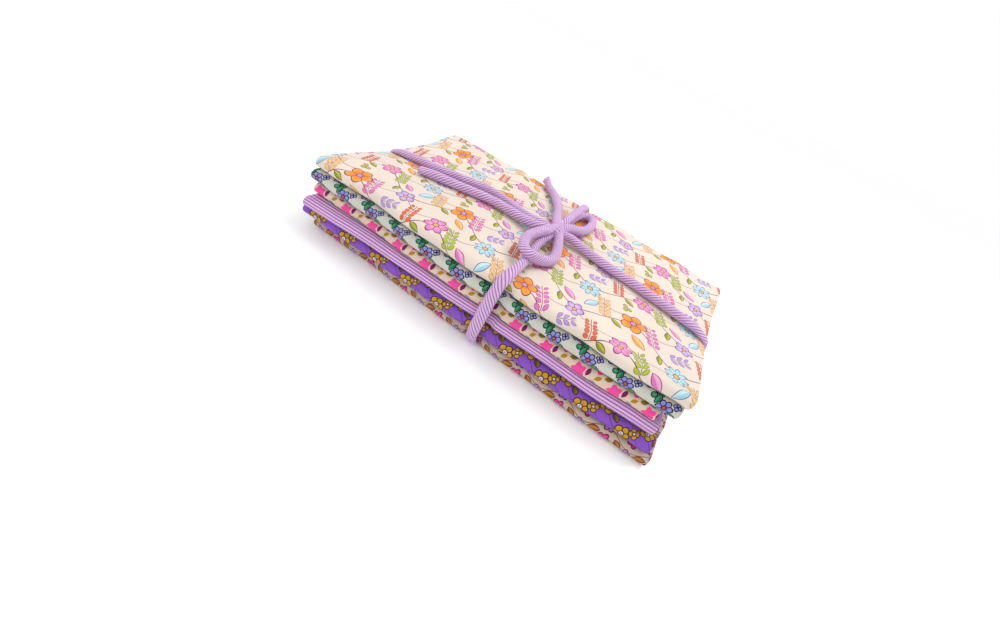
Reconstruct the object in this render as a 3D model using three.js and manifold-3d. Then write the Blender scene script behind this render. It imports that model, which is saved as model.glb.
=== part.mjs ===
// Six cuts of quilting cotton, folded flat, stacked and tied both ways with a soft fabric cord.
// Millimetres, +Z up, +X along the folds. The origin is under the middle of the stack, on the surface.
import * as THREE from "three";
import { mergeVertices } from "three/addons/utils/BufferGeometryUtils.js";
import Module from "manifold-3d";

// Driving dimensions of a folded cut
const STACK_HALF_LENGTH = 187;
const CUT_HEIGHT = 10.79;
const CUT_GAP = 0.54;
const PASS_COUNT = 5;
const PASS_THICKNESS = 1.9;
const END_ROUNDING = 3;
const END_THICKNESS = 0.9;
const FRONT_NOSE = 5.4;
const BACK_NOSE = 4.4;
const INNER_FOLD_SETBACK = 0.9;
const FREE_EDGE_SETBACK = 2;
const LAST_EDGE_SETBACK = 6;

// The order in which the cloth takes the five levels of a cut, counted from the lowest, and the
// number of straight steps in each of its four turns
const LEVEL = { first: 2, second: 3, third: 1, fourth: 4, fifth: 0 };
const TURN_STEPS = { innerBack: 3, innerFront: 4, outerBack: 4, outerFront: 6 };

// The cord's lanes round the stack, and the grooves it presses there
const LANE_X = 17;
const LANE_FLAT = 6;
const LANE_EDGE = 11;
const GROOVE_TOP = 1.1;
const GROOVE_BOTTOM = 3.3;
const GROOVE_CROSSING = 2.7;
const GROOVE_SIDE = 2.2;
const GROOVE_END = 2.5;
const SIDE_DEPTH = 24;
const TUBE_SIDES = 8;
const KNOT = { x: 14, y: 4, z: 77.5, halfX: 9, halfY: 9.5, halfZ: 7.5, around: 12, down: 8 };

// The box that the cord's flattened sections turn their backs to
const STACK_CORE = { left: -168, right: 165, front: -90, back: 98, low: 14, high: 50 };

// Points closer than this are one point when solids are joined
const MERGE_DISTANCE = 1e-4;

// The cord's lengthwise lane wanders in y along the stack
const LANE_Y = [
  { x: -187, y: 0 },
  { x: -95, y: 4 },
  { x: LANE_X, y: 8 },
  { x: 95, y: 6.5 },
  { x: 187, y: 5.5 },
];

// How far the crosswise lane leans in x on the top of the stack, and at the surface it stands on
const LEAN_TOP = [
  { y: -100, x: 7 },
  { y: -60, x: -3 },
  { y: 8, x: -2 },
  { y: 105, x: -10 },
];
const LEAN_BASE = -1.5;

// The cord draws the ends of the stack down between the puffed corners
const SAG_SHARE = 0.1;
const SAG_START = 95;
const SAG_ACROSS = { front: -80, frontRise: -45, rise: 0.4, lane: 0.95, backFall: 60, fall: 0.8, back: 92 };

// One row for each cut, from the bottom up: its ends, and its back and front folds at the FOLD_X places
const FOLD_X = [-187, -95, 0, 95, 187];
const CUTS = [
  { name: "cut_6_taupe_floral", left: -181, right: 187, backs: [108, 109, 109, 110, 108],
    fronts: [-106, -105.5, -106, -106, -106], colour: 0xd9c4ae, grooved: true },
  { name: "cut_5_violet_floral", left: -187, right: 182, backs: [106, 105, 104, 106, 108],
    fronts: [-111, -110, -108.5, -107, -105], colour: 0x8f5cc4, grooved: false },
  { name: "cut_4_lilac_stripe", left: -184, right: 177, backs: [105, 108, 108, 107, 110],
    fronts: [-115.5, -108.5, -105, -101, -97], colour: 0xc79adb, grooved: false },
  { name: "cut_3_pink_star", left: -181, right: 170, backs: [110, 112, 111, 112, 109],
    fronts: [-104, -103, -102, -99, -95], colour: 0xf3d9c4, grooved: false },
  { name: "cut_2_pale_grey_floral", left: -185, right: 178, backs: [107, 110, 111, 109, 107],
    fronts: [-104, -103, -102, -98, -93], colour: 0xe3e4dc, grooved: false },
  { name: "cut_1_cream_floral", left: -187, right: 180, backs: [112, 115.5, 116.5, 116, 114],
    fronts: [-99, -98.5, -98, -94, -91], colour: 0xf4e6d8, grooved: true },
];
const CLOTH_ROUGHNESS = 0.9;
const CORD_COLOUR = 0xc996dc;

// How far each pass stops short of a cut's left and right ends, from the lowest pass up
const PASS_ENDS = [
  { left: 0, right: 1.5 },
  { left: 2.5, right: 0.5 },
  { left: 1.2, right: 3 },
  { left: 3.2, right: 1 },
  { left: 0.4, right: 0 },
];

// The cord's route, one table for each stretch: a centre point, and the width and thickness of the
// soft cord there. The free end of the short tail comes first and that of the long tail last.
const SHORT_TAIL = [
  { x: -51, y: 109.5, z: 76, wide: 8.8, thick: 8.8 },
  { x: -42, y: 102, z: 73.6, wide: 8.8, thick: 8.8 },
  { x: -31, y: 91.5, z: 72.6, wide: 8.8, thick: 8.8 },
  { x: -18.5, y: 75, z: 73, wide: 8.8, thick: 8.8 },
  { x: -7, y: 54, z: 75, wide: 8.8, thick: 8.8 },
  { x: 3.5, y: 26, z: 78.2, wide: 9, thick: 9 },
  { x: 12, y: 6, z: 80, wide: 9, thick: 9 },
];
const BACK_LOOP = [
  { x: 13, y: 6, z: 78, wide: 9, thick: 9 },
  { x: 17, y: 11.5, z: 79.5, wide: 9, thick: 9 },
  { x: 22, y: 20, z: 78.4, wide: 9, thick: 9 },
  { x: 28, y: 30, z: 76.2, wide: 9, thick: 9 },
  { x: 31.5, y: 45.5, z: 74, wide: 9, thick: 9 },
  { x: 31, y: 65, z: 72.6, wide: 9, thick: 9 },
  { x: 27.5, y: 77.5, z: 72.4, wide: 9, thick: 9 },
  { x: 20.5, y: 82, z: 72.2, wide: 9, thick: 8.6 },
  { x: 14, y: 77, z: 71.8, wide: 9, thick: 8 },
  { x: 11.5, y: 64, z: 71.6, wide: 9, thick: 8 },
  { x: 12, y: 45, z: 71.6, wide: 9, thick: 8 },
  { x: 12.5, y: 26, z: 73.5, wide: 9, thick: 8.4 },
  { x: 13, y: 8, z: 76, wide: 9, thick: 9 },
];
const LENGTHWISE = [
  { x: 14, y: 6, z: 75, wide: 8.4, thick: 8.4 },
  { x: -6, y: 6.6, z: 74, wide: 8.4, thick: 8.4 },
  { x: -24, y: 7.5, z: 72.4, wide: 8.4, thick: 8.4 },
  { x: -44, y: 11.5, z: 72.2, wide: 8.4, thick: 8.4 },
  { x: -64, y: 13.5, z: 72.1, wide: 8.4, thick: 8.4 },
  { x: -82, y: 11, z: 72, wide: 8.4, thick: 8.4 },
  { x: -98, y: 5.5, z: 71, wide: 8.4, thick: 8.4 },
  { x: -115, y: 2, z: 69.9, wide: 8.4, thick: 8.4 },
  { x: -133, y: -1, z: 68.6, wide: 8.4, thick: 8.4 },
  { x: -154, y: -1, z: 67, wide: 8.4, thick: 8.4 },
  { x: -172, y: -0.5, z: 65.2, wide: 9, thick: 7.2 },
  { x: -181.5, y: 0, z: 63.6, wide: 9.6, thick: 5.4 },
  { x: -187.4, y: 0, z: 61.6, wide: 10, thick: 4.2 },
  { x: -189.8, y: 0, z: 57, wide: 10, thick: 3.8 },
  { x: -189.4, y: 0, z: 44, wide: 10, thick: 3.8 },
  { x: -189.6, y: 0, z: 18, wide: 10, thick: 3.8 },
  { x: -189, y: 0, z: 9, wide: 10, thick: 3.6 },
  { x: -185.6, y: 0, z: 3.4, wide: 10.6, thick: 3 },
  { x: -180, y: 0.2, z: 1.5, wide: 11, thick: 2.4 },
  { x: -140, y: 2, z: 1.5, wide: 11, thick: 2.4 },
  { x: -95, y: 4, z: 1.5, wide: 11, thick: 2.4 },
  { x: -45, y: 5.8, z: 1.5, wide: 11, thick: 2.4 },
  { x: 4.6, y: 7.6, z: 1.5, wide: 11, thick: 2.4 },
  { x: 9.8, y: 7.7, z: 4.1, wide: 11, thick: 2.4 },
  { x: 21.2, y: 7.9, z: 4.1, wide: 11, thick: 2.4 },
  { x: 26.4, y: 7.8, z: 1.5, wide: 11, thick: 2.4 },
  { x: 62, y: 7.1, z: 1.5, wide: 11, thick: 2.4 },
  { x: 95, y: 6.5, z: 1.5, wide: 11, thick: 2.4 },
  { x: 140, y: 6, z: 1.5, wide: 11, thick: 2.4 },
  { x: 181, y: 5.5, z: 1.5, wide: 11, thick: 2.4 },
  { x: 187.4, y: 5.5, z: 1.8, wide: 10.6, thick: 2.6 },
  { x: 189.8, y: 5.5, z: 5.4, wide: 10, thick: 3.2 },
  { x: 189.2, y: 5.5, z: 12, wide: 10, thick: 3.8 },
  { x: 185.8, y: 5.5, z: 27, wide: 10, thick: 3.8 },
  { x: 182.8, y: 5.5, z: 46, wide: 10, thick: 3.8 },
  { x: 182, y: 5.5, z: 57, wide: 10, thick: 3.8 },
  { x: 179.4, y: 5.5, z: 61.8, wide: 10, thick: 4.4 },
  { x: 174, y: 5.6, z: 64, wide: 9.6, thick: 5.6 },
  { x: 165, y: 5.8, z: 66, wide: 9, thick: 7.2 },
  { x: 148, y: 6.6, z: 67.4, wide: 8.4, thick: 8.4 },
  { x: 127, y: 6.8, z: 68.9, wide: 8.4, thick: 8.4 },
  { x: 105, y: 6.8, z: 70.4, wide: 8.4, thick: 8.4 },
  { x: 83, y: 7, z: 71, wide: 8.4, thick: 8.4 },
  { x: 62, y: 9, z: 71.2, wide: 8.4, thick: 8.4 },
  { x: 42, y: 12, z: 72, wide: 8.4, thick: 8.4 },
  { x: 29, y: 12, z: 73.4, wide: 8.4, thick: 8.4 },
  { x: 15, y: 7, z: 75.5, wide: 8.4, thick: 8.4 },
];
const CROSSWISE = [
  { x: 14, y: 8, z: 77.5, wide: 8.6, thick: 8.6 },
  { x: 13.8, y: 24, z: 80, wide: 8.6, thick: 8.6 },
  { x: 13.3, y: 38, z: 80.2, wide: 8.6, thick: 8.6 },
  { x: 12.4, y: 54, z: 79.4, wide: 8.6, thick: 8.6 },
  { x: 10.5, y: 72, z: 77, wide: 8.6, thick: 8.6 },
  { x: 8.5, y: 89, z: 73.4, wide: 8.8, thick: 8 },
  { x: 7.4, y: 102, z: 70.8, wide: 9.2, thick: 7 },
  { x: 7, y: 111, z: 69.6, wide: 10, thick: 5.4 },
  { x: 7.1, y: 116.4, z: 66, wide: 10, thick: 4.6 },
  { x: 7.4, y: 117.6, z: 60, wide: 10, thick: 4.2 },
  { x: 9, y: 114.6, z: 42, wide: 10, thick: 4.2 },
  { x: 11.8, y: 112, z: 20, wide: 10, thick: 4.2 },
  { x: 14, y: 110.4, z: 9, wide: 10, thick: 3.8 },
  { x: 15.2, y: 107.5, z: 3.2, wide: 10.6, thick: 3 },
  { x: 15.5, y: 102, z: 1.5, wide: 11, thick: 2.4 },
  { x: 15.5, y: 55, z: 1.5, wide: 11, thick: 2.4 },
  { x: 15.5, y: 8, z: 1.5, wide: 11, thick: 2.4 },
  { x: 15.5, y: -45, z: 1.5, wide: 11, thick: 2.4 },
  { x: 15.5, y: -97, z: 1.5, wide: 11, thick: 2.4 },
  { x: 15.8, y: -103, z: 2, wide: 11, thick: 2.6 },
  { x: 16.4, y: -107.4, z: 5, wide: 10.8, thick: 3.6 },
  { x: 17.4, y: -109.4, z: 11, wide: 10.8, thick: 4.5 },
  { x: 18.4, y: -109.4, z: 18, wide: 10.8, thick: 4.5 },
  { x: 20.4, y: -106.6, z: 31, wide: 10.8, thick: 4.5 },
  { x: 22.4, y: -103.6, z: 47, wide: 10.8, thick: 4.5 },
  { x: 23.6, y: -101.2, z: 58, wide: 10.6, thick: 4.6 },
  { x: 24, y: -98.4, z: 65.2, wide: 10.4, thick: 5 },
  { x: 23.4, y: -92.2, z: 69.6, wide: 10, thick: 5.8 },
  { x: 20.6, y: -84, z: 70.8, wide: 9.4, thick: 7 },
  { x: 17, y: -75, z: 71.2, wide: 8.8, thick: 8 },
  { x: 14, y: -62, z: 71.2, wide: 8.4, thick: 8.4 },
  { x: 12.2, y: -49, z: 71.2, wide: 8.4, thick: 8.4 },
  { x: 11.4, y: -35, z: 72, wide: 8.4, thick: 8.4 },
  { x: 12.2, y: -21, z: 73.8, wide: 8.4, thick: 8.4 },
  { x: 14.4, y: -8, z: 76, wide: 8.4, thick: 8.4 },
  { x: 14.6, y: 2, z: 77, wide: 8.4, thick: 8.4 },
];
const FRONT_LOOP = [
  { x: 14, y: 5, z: 79, wide: 9.2, thick: 9.2 },
  { x: 12.8, y: -3, z: 81, wide: 9.2, thick: 9.2 },
  { x: 10.6, y: -15, z: 81.2, wide: 9.4, thick: 9.4 },
  { x: 7, y: -27, z: 81, wide: 9.4, thick: 9.4 },
  { x: 4.8, y: -38.5, z: 80.6, wide: 9.4, thick: 9.4 },
  { x: 6.1, y: -49.7, z: 80.2, wide: 9.4, thick: 9.4 },
  { x: 11.2, y: -58.6, z: 79.8, wide: 9.4, thick: 9.2 },
  { x: 17.3, y: -61, z: 78.6, wide: 9.4, thick: 9.2 },
  { x: 23.2, y: -56.5, z: 76, wide: 9.4, thick: 9.4 },
  { x: 29, y: -49.7, z: 73.6, wide: 9.4, thick: 9.4 },
  { x: 32.6, y: -41, z: 72.6, wide: 9.4, thick: 9.4 },
  { x: 31, y: -28, z: 73.4, wide: 9.4, thick: 9.4 },
  { x: 25.8, y: -15.5, z: 76, wide: 9.4, thick: 9.4 },
  { x: 20.6, y: -6, z: 78.4, wide: 9.2, thick: 9.2 },
  { x: 15.5, y: 3, z: 79, wide: 9.2, thick: 9.2 },
];
const LONG_TAIL = [
  { x: 12, y: 2, z: 78, wide: 8.8, thick: 8.8 },
  { x: 2, y: -7, z: 77.4, wide: 8.8, thick: 8.8 },
  { x: -16, y: -5.5, z: 74.6, wide: 8.8, thick: 8.8 },
  { x: -35, y: -3, z: 72.8, wide: 8.8, thick: 8.8 },
  { x: -53, y: -3, z: 72.3, wide: 8.8, thick: 8.8 },
  { x: -69, y: -7.2, z: 72.3, wide: 8.8, thick: 8.8 },
  { x: -84.5, y: -12.5, z: 72.2, wide: 8.8, thick: 8.8 },
  { x: -100, y: -17.2, z: 72, wide: 8.8, thick: 8.8 },
  { x: -117, y: -21.3, z: 71.6, wide: 8.8, thick: 8.8 },
  { x: -131, y: -25.3, z: 71.2, wide: 8.8, thick: 8.8 },
];

// Sizes that follow from the driving dimensions
const PASS_PITCH = (CUT_HEIGHT - PASS_THICKNESS) / (PASS_COUNT - 1);
const STACK_HEIGHT = CUTS.length * CUT_HEIGHT + (CUTS.length - 1) * CUT_GAP;
const CORE_BOX = new THREE.Box3(
  new THREE.Vector3(STACK_CORE.left, STACK_CORE.front, STACK_CORE.low),
  new THREE.Vector3(STACK_CORE.right, STACK_CORE.back, STACK_CORE.high),
);

// Straight-line look-up of one column against another in a table
function lookUp(rows, key, value, at) {
  if (at <= rows[0][key]) {
    return rows[0][value];
  }
  for (let i = 1; i < rows.length; i += 1) {
    if (at <= rows[i][key]) {
      const t = (at - rows[i - 1][key]) / (rows[i][key] - rows[i - 1][key]);
      return THREE.MathUtils.lerp(rows[i - 1][value], rows[i][value], t);
    }
  }
  return rows[rows.length - 1][value];
}

// 1 on the flat floor of a lane, 0 past its edges
function inLane(offset) {
  const t = (LANE_EDGE - Math.abs(offset)) / (LANE_EDGE - LANE_FLAT);
  return THREE.MathUtils.clamp(t, 0, 1);
}

// The place of a fold, cut.fronts or cut.backs, at a station along the stack
function foldAt(folds, x) {
  const rows = FOLD_X.map((at, i) => ({ x: at, y: folds[i] }));
  return lookUp(rows, "x", "y", x);
}

// 1 at a side of the stack, falling to 0 at the depth that a groove reaches
function nearSide(depth) {
  return THREE.MathUtils.clamp(1 - depth / SIDE_DEPTH, 0, 1);
}

// How much of the end sag a point across the stack takes
function sagAcross(laneY, y) {
  const rows = [
    { y: SAG_ACROSS.front, share: 0 },
    { y: SAG_ACROSS.frontRise, share: SAG_ACROSS.rise },
    { y: laneY - LANE_EDGE, share: SAG_ACROSS.lane },
    { y: laneY + LANE_EDGE, share: 1 },
    { y: SAG_ACROSS.backFall, share: SAG_ACROSS.fall },
    { y: SAG_ACROSS.back, share: 0 },
  ];
  return lookUp(rows, "y", "share", y);
}

// How the tied cord shapes a cut: sagging ends, and grooves above, below, in front and behind
function pressByCord(cut, point, stationX) {
  const laneY = lookUp(LANE_Y, "x", "y", stationX);
  const overX = inLane(stationX - LANE_X);
  const overY = inLane(point.y - laneY);
  let z = point.z;
  if (z <= CUT_HEIGHT) {
    const lift = GROOVE_BOTTOM * Math.max(overX, overY) + GROOVE_CROSSING * overX * overY;
    z += lift * (1 - z / CUT_HEIGHT);
  }
  const topFloor = STACK_HEIGHT - CUT_HEIGHT;
  if (z >= topFloor) {
    z -= GROOVE_TOP * Math.max(overX, overY) * (z - topFloor) / CUT_HEIGHT;
  }
  const towardsEnd = (Math.abs(point.x) - SAG_START) / (STACK_HALF_LENGTH - SAG_START);
  const endShare = THREE.MathUtils.clamp(towardsEnd, 0, 1);
  z *= 1 - SAG_SHARE * endShare * sagAcross(laneY, point.y);
  const fromFront = nearSide(point.y - foldAt(cut.fronts, stationX));
  const fromBack = nearSide(foldAt(cut.backs, stationX) - point.y);
  const y = point.y + GROOVE_SIDE * overX * (fromFront - fromBack);
  const nearLane = THREE.MathUtils.clamp(1 - Math.abs(stationX - LANE_X) / (SAG_START - LANE_X), 0, 1);
  const lean = THREE.MathUtils.lerp(LEAN_BASE, lookUp(LEAN_TOP, "y", "x", y), point.z / STACK_HEIGHT);
  const pulledIn = GROOVE_END * overY * (nearSide(point.x - cut.left) - nearSide(cut.right - point.x));
  return new THREE.Vector3(point.x + lean * nearLane + pulledIn, y, z);
}

// The height of a level's middle above the cut's underside
function levelHeight(n) {
  return PASS_THICKNESS / 2 + n * PASS_PITCH;
}

// A straight pass of the cloth through the given places across the stack, on one level
function pass(places, level) {
  return places.map((y) => new THREE.Vector2(y, levelHeight(level)));
}

// The inner points of a half-turn between two levels, on an ellipse with its nose towards the back,
// or towards the front if nose is negative
function turn(y, fromLevel, toLevel, nose, steps) {
  const middle = (levelHeight(fromLevel) + levelHeight(toLevel)) / 2;
  const halfHeight = (levelHeight(fromLevel) - levelHeight(toLevel)) / 2;
  const points = [];
  for (let i = 1; i < steps; i += 1) {
    const angle = Math.PI * i / steps;
    points.push(new THREE.Vector2(y + nose * Math.sin(angle), middle + halfHeight * Math.cos(angle)));
  }
  return points;
}

// The centre line of one cut's section: a ribbon that goes back and forth in five passes. From the
// top down they lie in the order fourth, second, first, third, fifth, so the last turn wraps the front.
function foldedPath(cut, stationX) {
  const laneY = lookUp(LANE_Y, "x", "y", stationX);
  const grooveEdges = cut.grooved ? [-LANE_EDGE, -LANE_FLAT, LANE_FLAT, LANE_EDGE] : [-LANE_EDGE, LANE_EDGE];
  const towardsBack = [
    SAG_ACROSS.front,
    SAG_ACROSS.frontRise,
    ...grooveEdges.map((offset) => laneY + offset),
    SAG_ACROSS.backFall,
    SAG_ACROSS.back,
  ];
  const towardsFront = [...towardsBack].reverse();
  const lastEdge = foldAt(cut.backs, stationX) - LAST_EDGE_SETBACK;
  const front = foldAt(cut.fronts, stationX) + FRONT_NOSE + PASS_THICKNESS / 2;
  const back = foldAt(cut.backs, stationX) - BACK_NOSE - PASS_THICKNESS / 2;
  const innerFront = front + INNER_FOLD_SETBACK;
  const innerBack = back - INNER_FOLD_SETBACK;
  return [
    ...pass([innerFront + FREE_EDGE_SETBACK, ...towardsBack, innerBack], LEVEL.first),
    ...turn(innerBack, LEVEL.first, LEVEL.second, PASS_PITCH / 2, TURN_STEPS.innerBack),
    ...pass([innerBack, ...towardsFront, innerFront], LEVEL.second),
    ...turn(innerFront, LEVEL.second, LEVEL.third, -PASS_PITCH, TURN_STEPS.innerFront),
    ...pass([innerFront, ...towardsBack, back], LEVEL.third),
    ...turn(back, LEVEL.third, LEVEL.fourth, BACK_NOSE, TURN_STEPS.outerBack),
    ...pass([back, ...towardsFront, front], LEVEL.fourth),
    ...turn(front, LEVEL.fourth, LEVEL.fifth, -FRONT_NOSE, TURN_STEPS.outerFront),
    ...pass([front, ...towardsBack, lastEdge], LEVEL.fifth),
  ];
}

// Both sides of a ribbon of even thickness along a path, with mitred corners, as one closed outline
function ribbonOutline(path, thickness) {
  const left = [];
  const right = [];
  path.forEach((point, i) => {
    const before = path[Math.max(i - 1, 0)];
    const after = path[Math.min(i + 1, path.length - 1)];
    const into = point.clone().sub(before);
    const out = after.clone().sub(point);
    const first = (into.length() > 0 ? into : out).clone().normalize();
    const second = (out.length() > 0 ? out : into).clone().normalize();
    const tangent = first.clone().add(second).normalize();
    const reach = thickness / 2 / tangent.dot(first);
    const normal = new THREE.Vector2(-tangent.y, tangent.x).multiplyScalar(reach);
    left.push(point.clone().add(normal));
    right.push(point.clone().sub(normal));
  });
  return [...left, ...right.reverse()];
}

// The stations along a cut: its rounded ends, the sag's start, and the crosswise lane
function stations(cut) {
  const lane = cut.grooved ? [-LANE_EDGE, -LANE_FLAT, LANE_FLAT, LANE_EDGE] : [-LANE_EDGE, 0, LANE_EDGE];
  return [
    { x: cut.left, side: "left", thickness: END_THICKNESS },
    { x: cut.left + END_ROUNDING, side: "left", thickness: PASS_THICKNESS },
    { x: -SAG_START, thickness: PASS_THICKNESS },
    ...lane.map((offset) => ({ x: LANE_X + offset, thickness: PASS_THICKNESS })),
    { x: SAG_START, thickness: PASS_THICKNESS },
    { x: cut.right - END_ROUNDING, side: "right", thickness: PASS_THICKNESS },
    { x: cut.right, side: "right", thickness: END_THICKNESS },
  ];
}

// How far the pass at a height stops short of the cut's end
function endInset(station, z) {
  if (!station.side) {
    return 0;
  }
  const nearest = Math.round((z - PASS_THICKNESS / 2) / PASS_PITCH);
  const n = THREE.MathUtils.clamp(nearest, 0, PASS_COUNT - 1);
  return station.side === "left" ? PASS_ENDS[n].left : -PASS_ENDS[n].right;
}

// A closed solid from rings of equal length. Every quad is split towards higher y, so that the facing
// surfaces of neighbouring cuts have the same creases.
function loft(rings, capTriangles) {
  const count = rings[0].length;
  const positions = rings.flat().flatMap((point) => [point.x, point.y, point.z]);
  const indices = [];
  for (let i = 0; i + 1 < rings.length; i += 1) {
    for (let j = 0; j < count; j += 1) {
      const k = (j + 1) % count;
      const [a, b, c, d] = [i * count + j, i * count + k, (i + 1) * count + k, (i + 1) * count + j];
      if (rings[i][j].y <= rings[i][k].y) {
        indices.push(a, c, b, a, d, c);
      } else {
        indices.push(a, d, b, b, d, c);
      }
    }
  }
  const last = (rings.length - 1) * count;
  for (const [a, b, c] of capTriangles) {
    indices.push(a, b, c, last + c, last + b, last + a);
  }
  const geometry = new THREE.BufferGeometry();
  geometry.setAttribute("position", new THREE.Float32BufferAttribute(positions, 3));
  geometry.setIndex(indices);
  return geometry;
}

// The triangles across a ribbon's outline of count points, wound the way that the outline runs
function ribbonCap(count) {
  const triangles = [];
  for (let i = 0; i + 1 < count / 2; i += 1) {
    const opposite = count - 1 - i;
    triangles.push([i, i + 1, opposite - 1], [i, opposite - 1, opposite]);
  }
  return triangles;
}

// One folded cut as a closed solid, pressed into shape by the cord
function foldedCut(cut, baseZ) {
  const rings = stations(cut).map((station) => {
    const outline = ribbonOutline(foldedPath(cut, station.x), station.thickness);
    return outline.map((p) => {
      const x = station.x + endInset(station, p.y);
      return pressByCord(cut, new THREE.Vector3(x, p.x, baseZ + p.y), station.x);
    });
  });
  return loft(rings, ribbonCap(rings[0].length));
}

// The direction out of the stack at a point of the cord, which its flattened section faces
function outwards(point) {
  const nearest = CORE_BOX.clampPoint(point, new THREE.Vector3());
  return point.clone().sub(nearest).normalize();
}

// A stretch of the cord: an eight-sided tube that flattens against the cloth
function cordStretch(rows) {
  const points = rows.map((row) => new THREE.Vector3(row.x, row.y, row.z));
  const cap = [];
  for (let j = 1; j + 1 < TUBE_SIDES; j += 1) {
    cap.push([0, j, j + 1]);
  }
  const rings = points.map((point, i) => {
    const before = points[Math.max(i - 1, 0)];
    const after = points[Math.min(i + 1, points.length - 1)];
    const tangent = after.clone().sub(before).normalize();
    const side = tangent.clone().cross(outwards(point)).normalize();
    const up = side.clone().cross(tangent);
    const ring = [];
    for (let j = 0; j < TUBE_SIDES; j += 1) {
      const angle = Math.PI * 2 * (j + 0.5) / TUBE_SIDES;
      const across = side.clone().multiplyScalar(Math.cos(angle) * rows[i].wide / 2);
      const through = up.clone().multiplyScalar(Math.sin(angle) * rows[i].thick / 2);
      ring.push(point.clone().add(across).add(through));
    }
    return ring;
  });
  return loft(rings, cap);
}

// The lump of the bow's knot
function knotLump() {
  const geometry = new THREE.SphereGeometry(1, KNOT.around, KNOT.down);
  geometry.scale(KNOT.halfX, KNOT.halfY, KNOT.halfZ);
  geometry.translate(KNOT.x, KNOT.y, KNOT.z);
  return geometry;
}

// Joins closed geometries that overlap into one closed geometry
function joined(wasm, geometries) {
  let whole = null;
  for (const geometry of geometries) {
    geometry.deleteAttribute("normal");
    geometry.deleteAttribute("uv");
    const merged = mergeVertices(geometry, MERGE_DISTANCE);
    const solid = new wasm.Manifold(new wasm.Mesh({
      numProp: 3,
      vertProperties: new Float32Array(merged.attributes.position.array),
      triVerts: new Uint32Array(merged.index.array),
    }));
    whole = whole ? whole.add(solid) : solid;
  }
  const mesh = whole.getMesh();
  const geometry = new THREE.BufferGeometry();
  geometry.setAttribute("position", new THREE.Float32BufferAttribute(mesh.vertProperties, 3));
  geometry.setIndex([...mesh.triVerts]);
  return geometry;
}

// A named mesh with its own cloth material
function clothMesh(name, geometry, colour) {
  geometry.computeVertexNormals();
  const finish = { color: colour, roughness: CLOTH_ROUGHNESS, metalness: 0 };
  const material = new THREE.MeshStandardMaterial(finish);
  const mesh = new THREE.Mesh(geometry, material);
  mesh.name = name;
  return mesh;
}

const wasm = await Module();
wasm.setup();

const group = new THREE.Group();
CUTS.forEach((cut, i) => {
  group.add(clothMesh(cut.name, foldedCut(cut, i * (CUT_HEIGHT + CUT_GAP)), cut.colour));
});
const stretches = [SHORT_TAIL, BACK_LOOP, LENGTHWISE, CROSSWISE, FRONT_LOOP, LONG_TAIL];
const cord = joined(wasm, [...stretches.map(cordStretch), knotLump()]);
group.add(clothMesh("tie_cord", cord, CORD_COLOUR));

export default group;
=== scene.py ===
"""Six folded cuts of quilting cotton, stacked and tied both ways with a soft striped cord.

Metres, +Z up. The origin is under the middle of the stack, on the surface that it rests on.
"""

from __future__ import annotations

import logging
import math
from dataclasses import dataclass
from enum import Enum

import bmesh
import bpy
import numpy as np
from mathutils import Matrix, Vector

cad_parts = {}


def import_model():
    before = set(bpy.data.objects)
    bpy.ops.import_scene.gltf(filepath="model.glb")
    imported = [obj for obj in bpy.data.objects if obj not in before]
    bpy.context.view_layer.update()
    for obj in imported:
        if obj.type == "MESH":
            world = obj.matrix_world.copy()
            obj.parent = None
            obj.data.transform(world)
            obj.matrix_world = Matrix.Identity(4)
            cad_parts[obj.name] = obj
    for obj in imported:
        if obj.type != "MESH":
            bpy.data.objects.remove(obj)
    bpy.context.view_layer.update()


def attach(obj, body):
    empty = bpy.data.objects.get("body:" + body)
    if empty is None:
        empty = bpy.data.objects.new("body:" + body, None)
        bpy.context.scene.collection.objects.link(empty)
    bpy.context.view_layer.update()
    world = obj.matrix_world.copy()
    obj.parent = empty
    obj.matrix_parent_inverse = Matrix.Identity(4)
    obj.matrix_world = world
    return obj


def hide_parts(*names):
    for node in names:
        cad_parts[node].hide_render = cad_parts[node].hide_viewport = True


LOG = logging.getLogger("bundle")
MM = 0.001
TINY = 1e-12
BODY = "root"

# The folded stack, as the solids have it
STACK_HALF_LENGTH = 0.187
CUT_HEIGHT = 0.01079
CUT_GAP = 0.00054
CUT_COUNT = 6
PASS_COUNT = 5
PASS_THICKNESS = 0.0019
FRONT_NOSE = 0.0054
BACK_NOSE = 0.0044
INNER_FOLD_SETBACK = 0.0009
FREE_EDGE_SETBACK = 0.002
LAST_EDGE_SETBACK = 0.006
PASS_PITCH = (CUT_HEIGHT - PASS_THICKNESS) / (PASS_COUNT - 1)
STACK_HEIGHT = CUT_COUNT * CUT_HEIGHT + (CUT_COUNT - 1) * CUT_GAP
FOLD_X = (-0.187, -0.095, 0.0, 0.095, 0.187)

# The cord's lanes round the stack, and how deep it presses into the cloth
LANE_X = 0.017
LANE_FLAT = 0.006
LANE_EDGE = 0.011
LANE_LINES = (-LANE_EDGE, -LANE_FLAT, LANE_FLAT, LANE_EDGE)
GROOVE_TOP = 0.0011
LEFT_BITE = 0.0024
LEFT_BITE_X = -0.125
GROOVE_BOTTOM = 0.0033
GROOVE_CROSSING = 0.0027
GROOVE_SIDE = 0.0022
GROOVE_END = 0.0025
SIDE_DEPTH = 0.024
LANE_Y = ((-0.187, 0.0), (-0.095, 0.004), (0.017, 0.008), (0.095, 0.0065), (0.187, 0.0055))
LEAN_TOP = ((-0.1, 0.007), (-0.06, -0.003), (0.008, -0.002), (0.105, -0.01))
LEAN_BASE = -0.0015
SAG_SHARE = 0.1
SAG_START = 0.095
SAG_FRONT = (-0.08, -0.045)
SAG_BACK = (0.06, 0.092)
SAG_SHARES = (0.0, 0.4, 0.95, 1.0, 0.8, 0.0)

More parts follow.
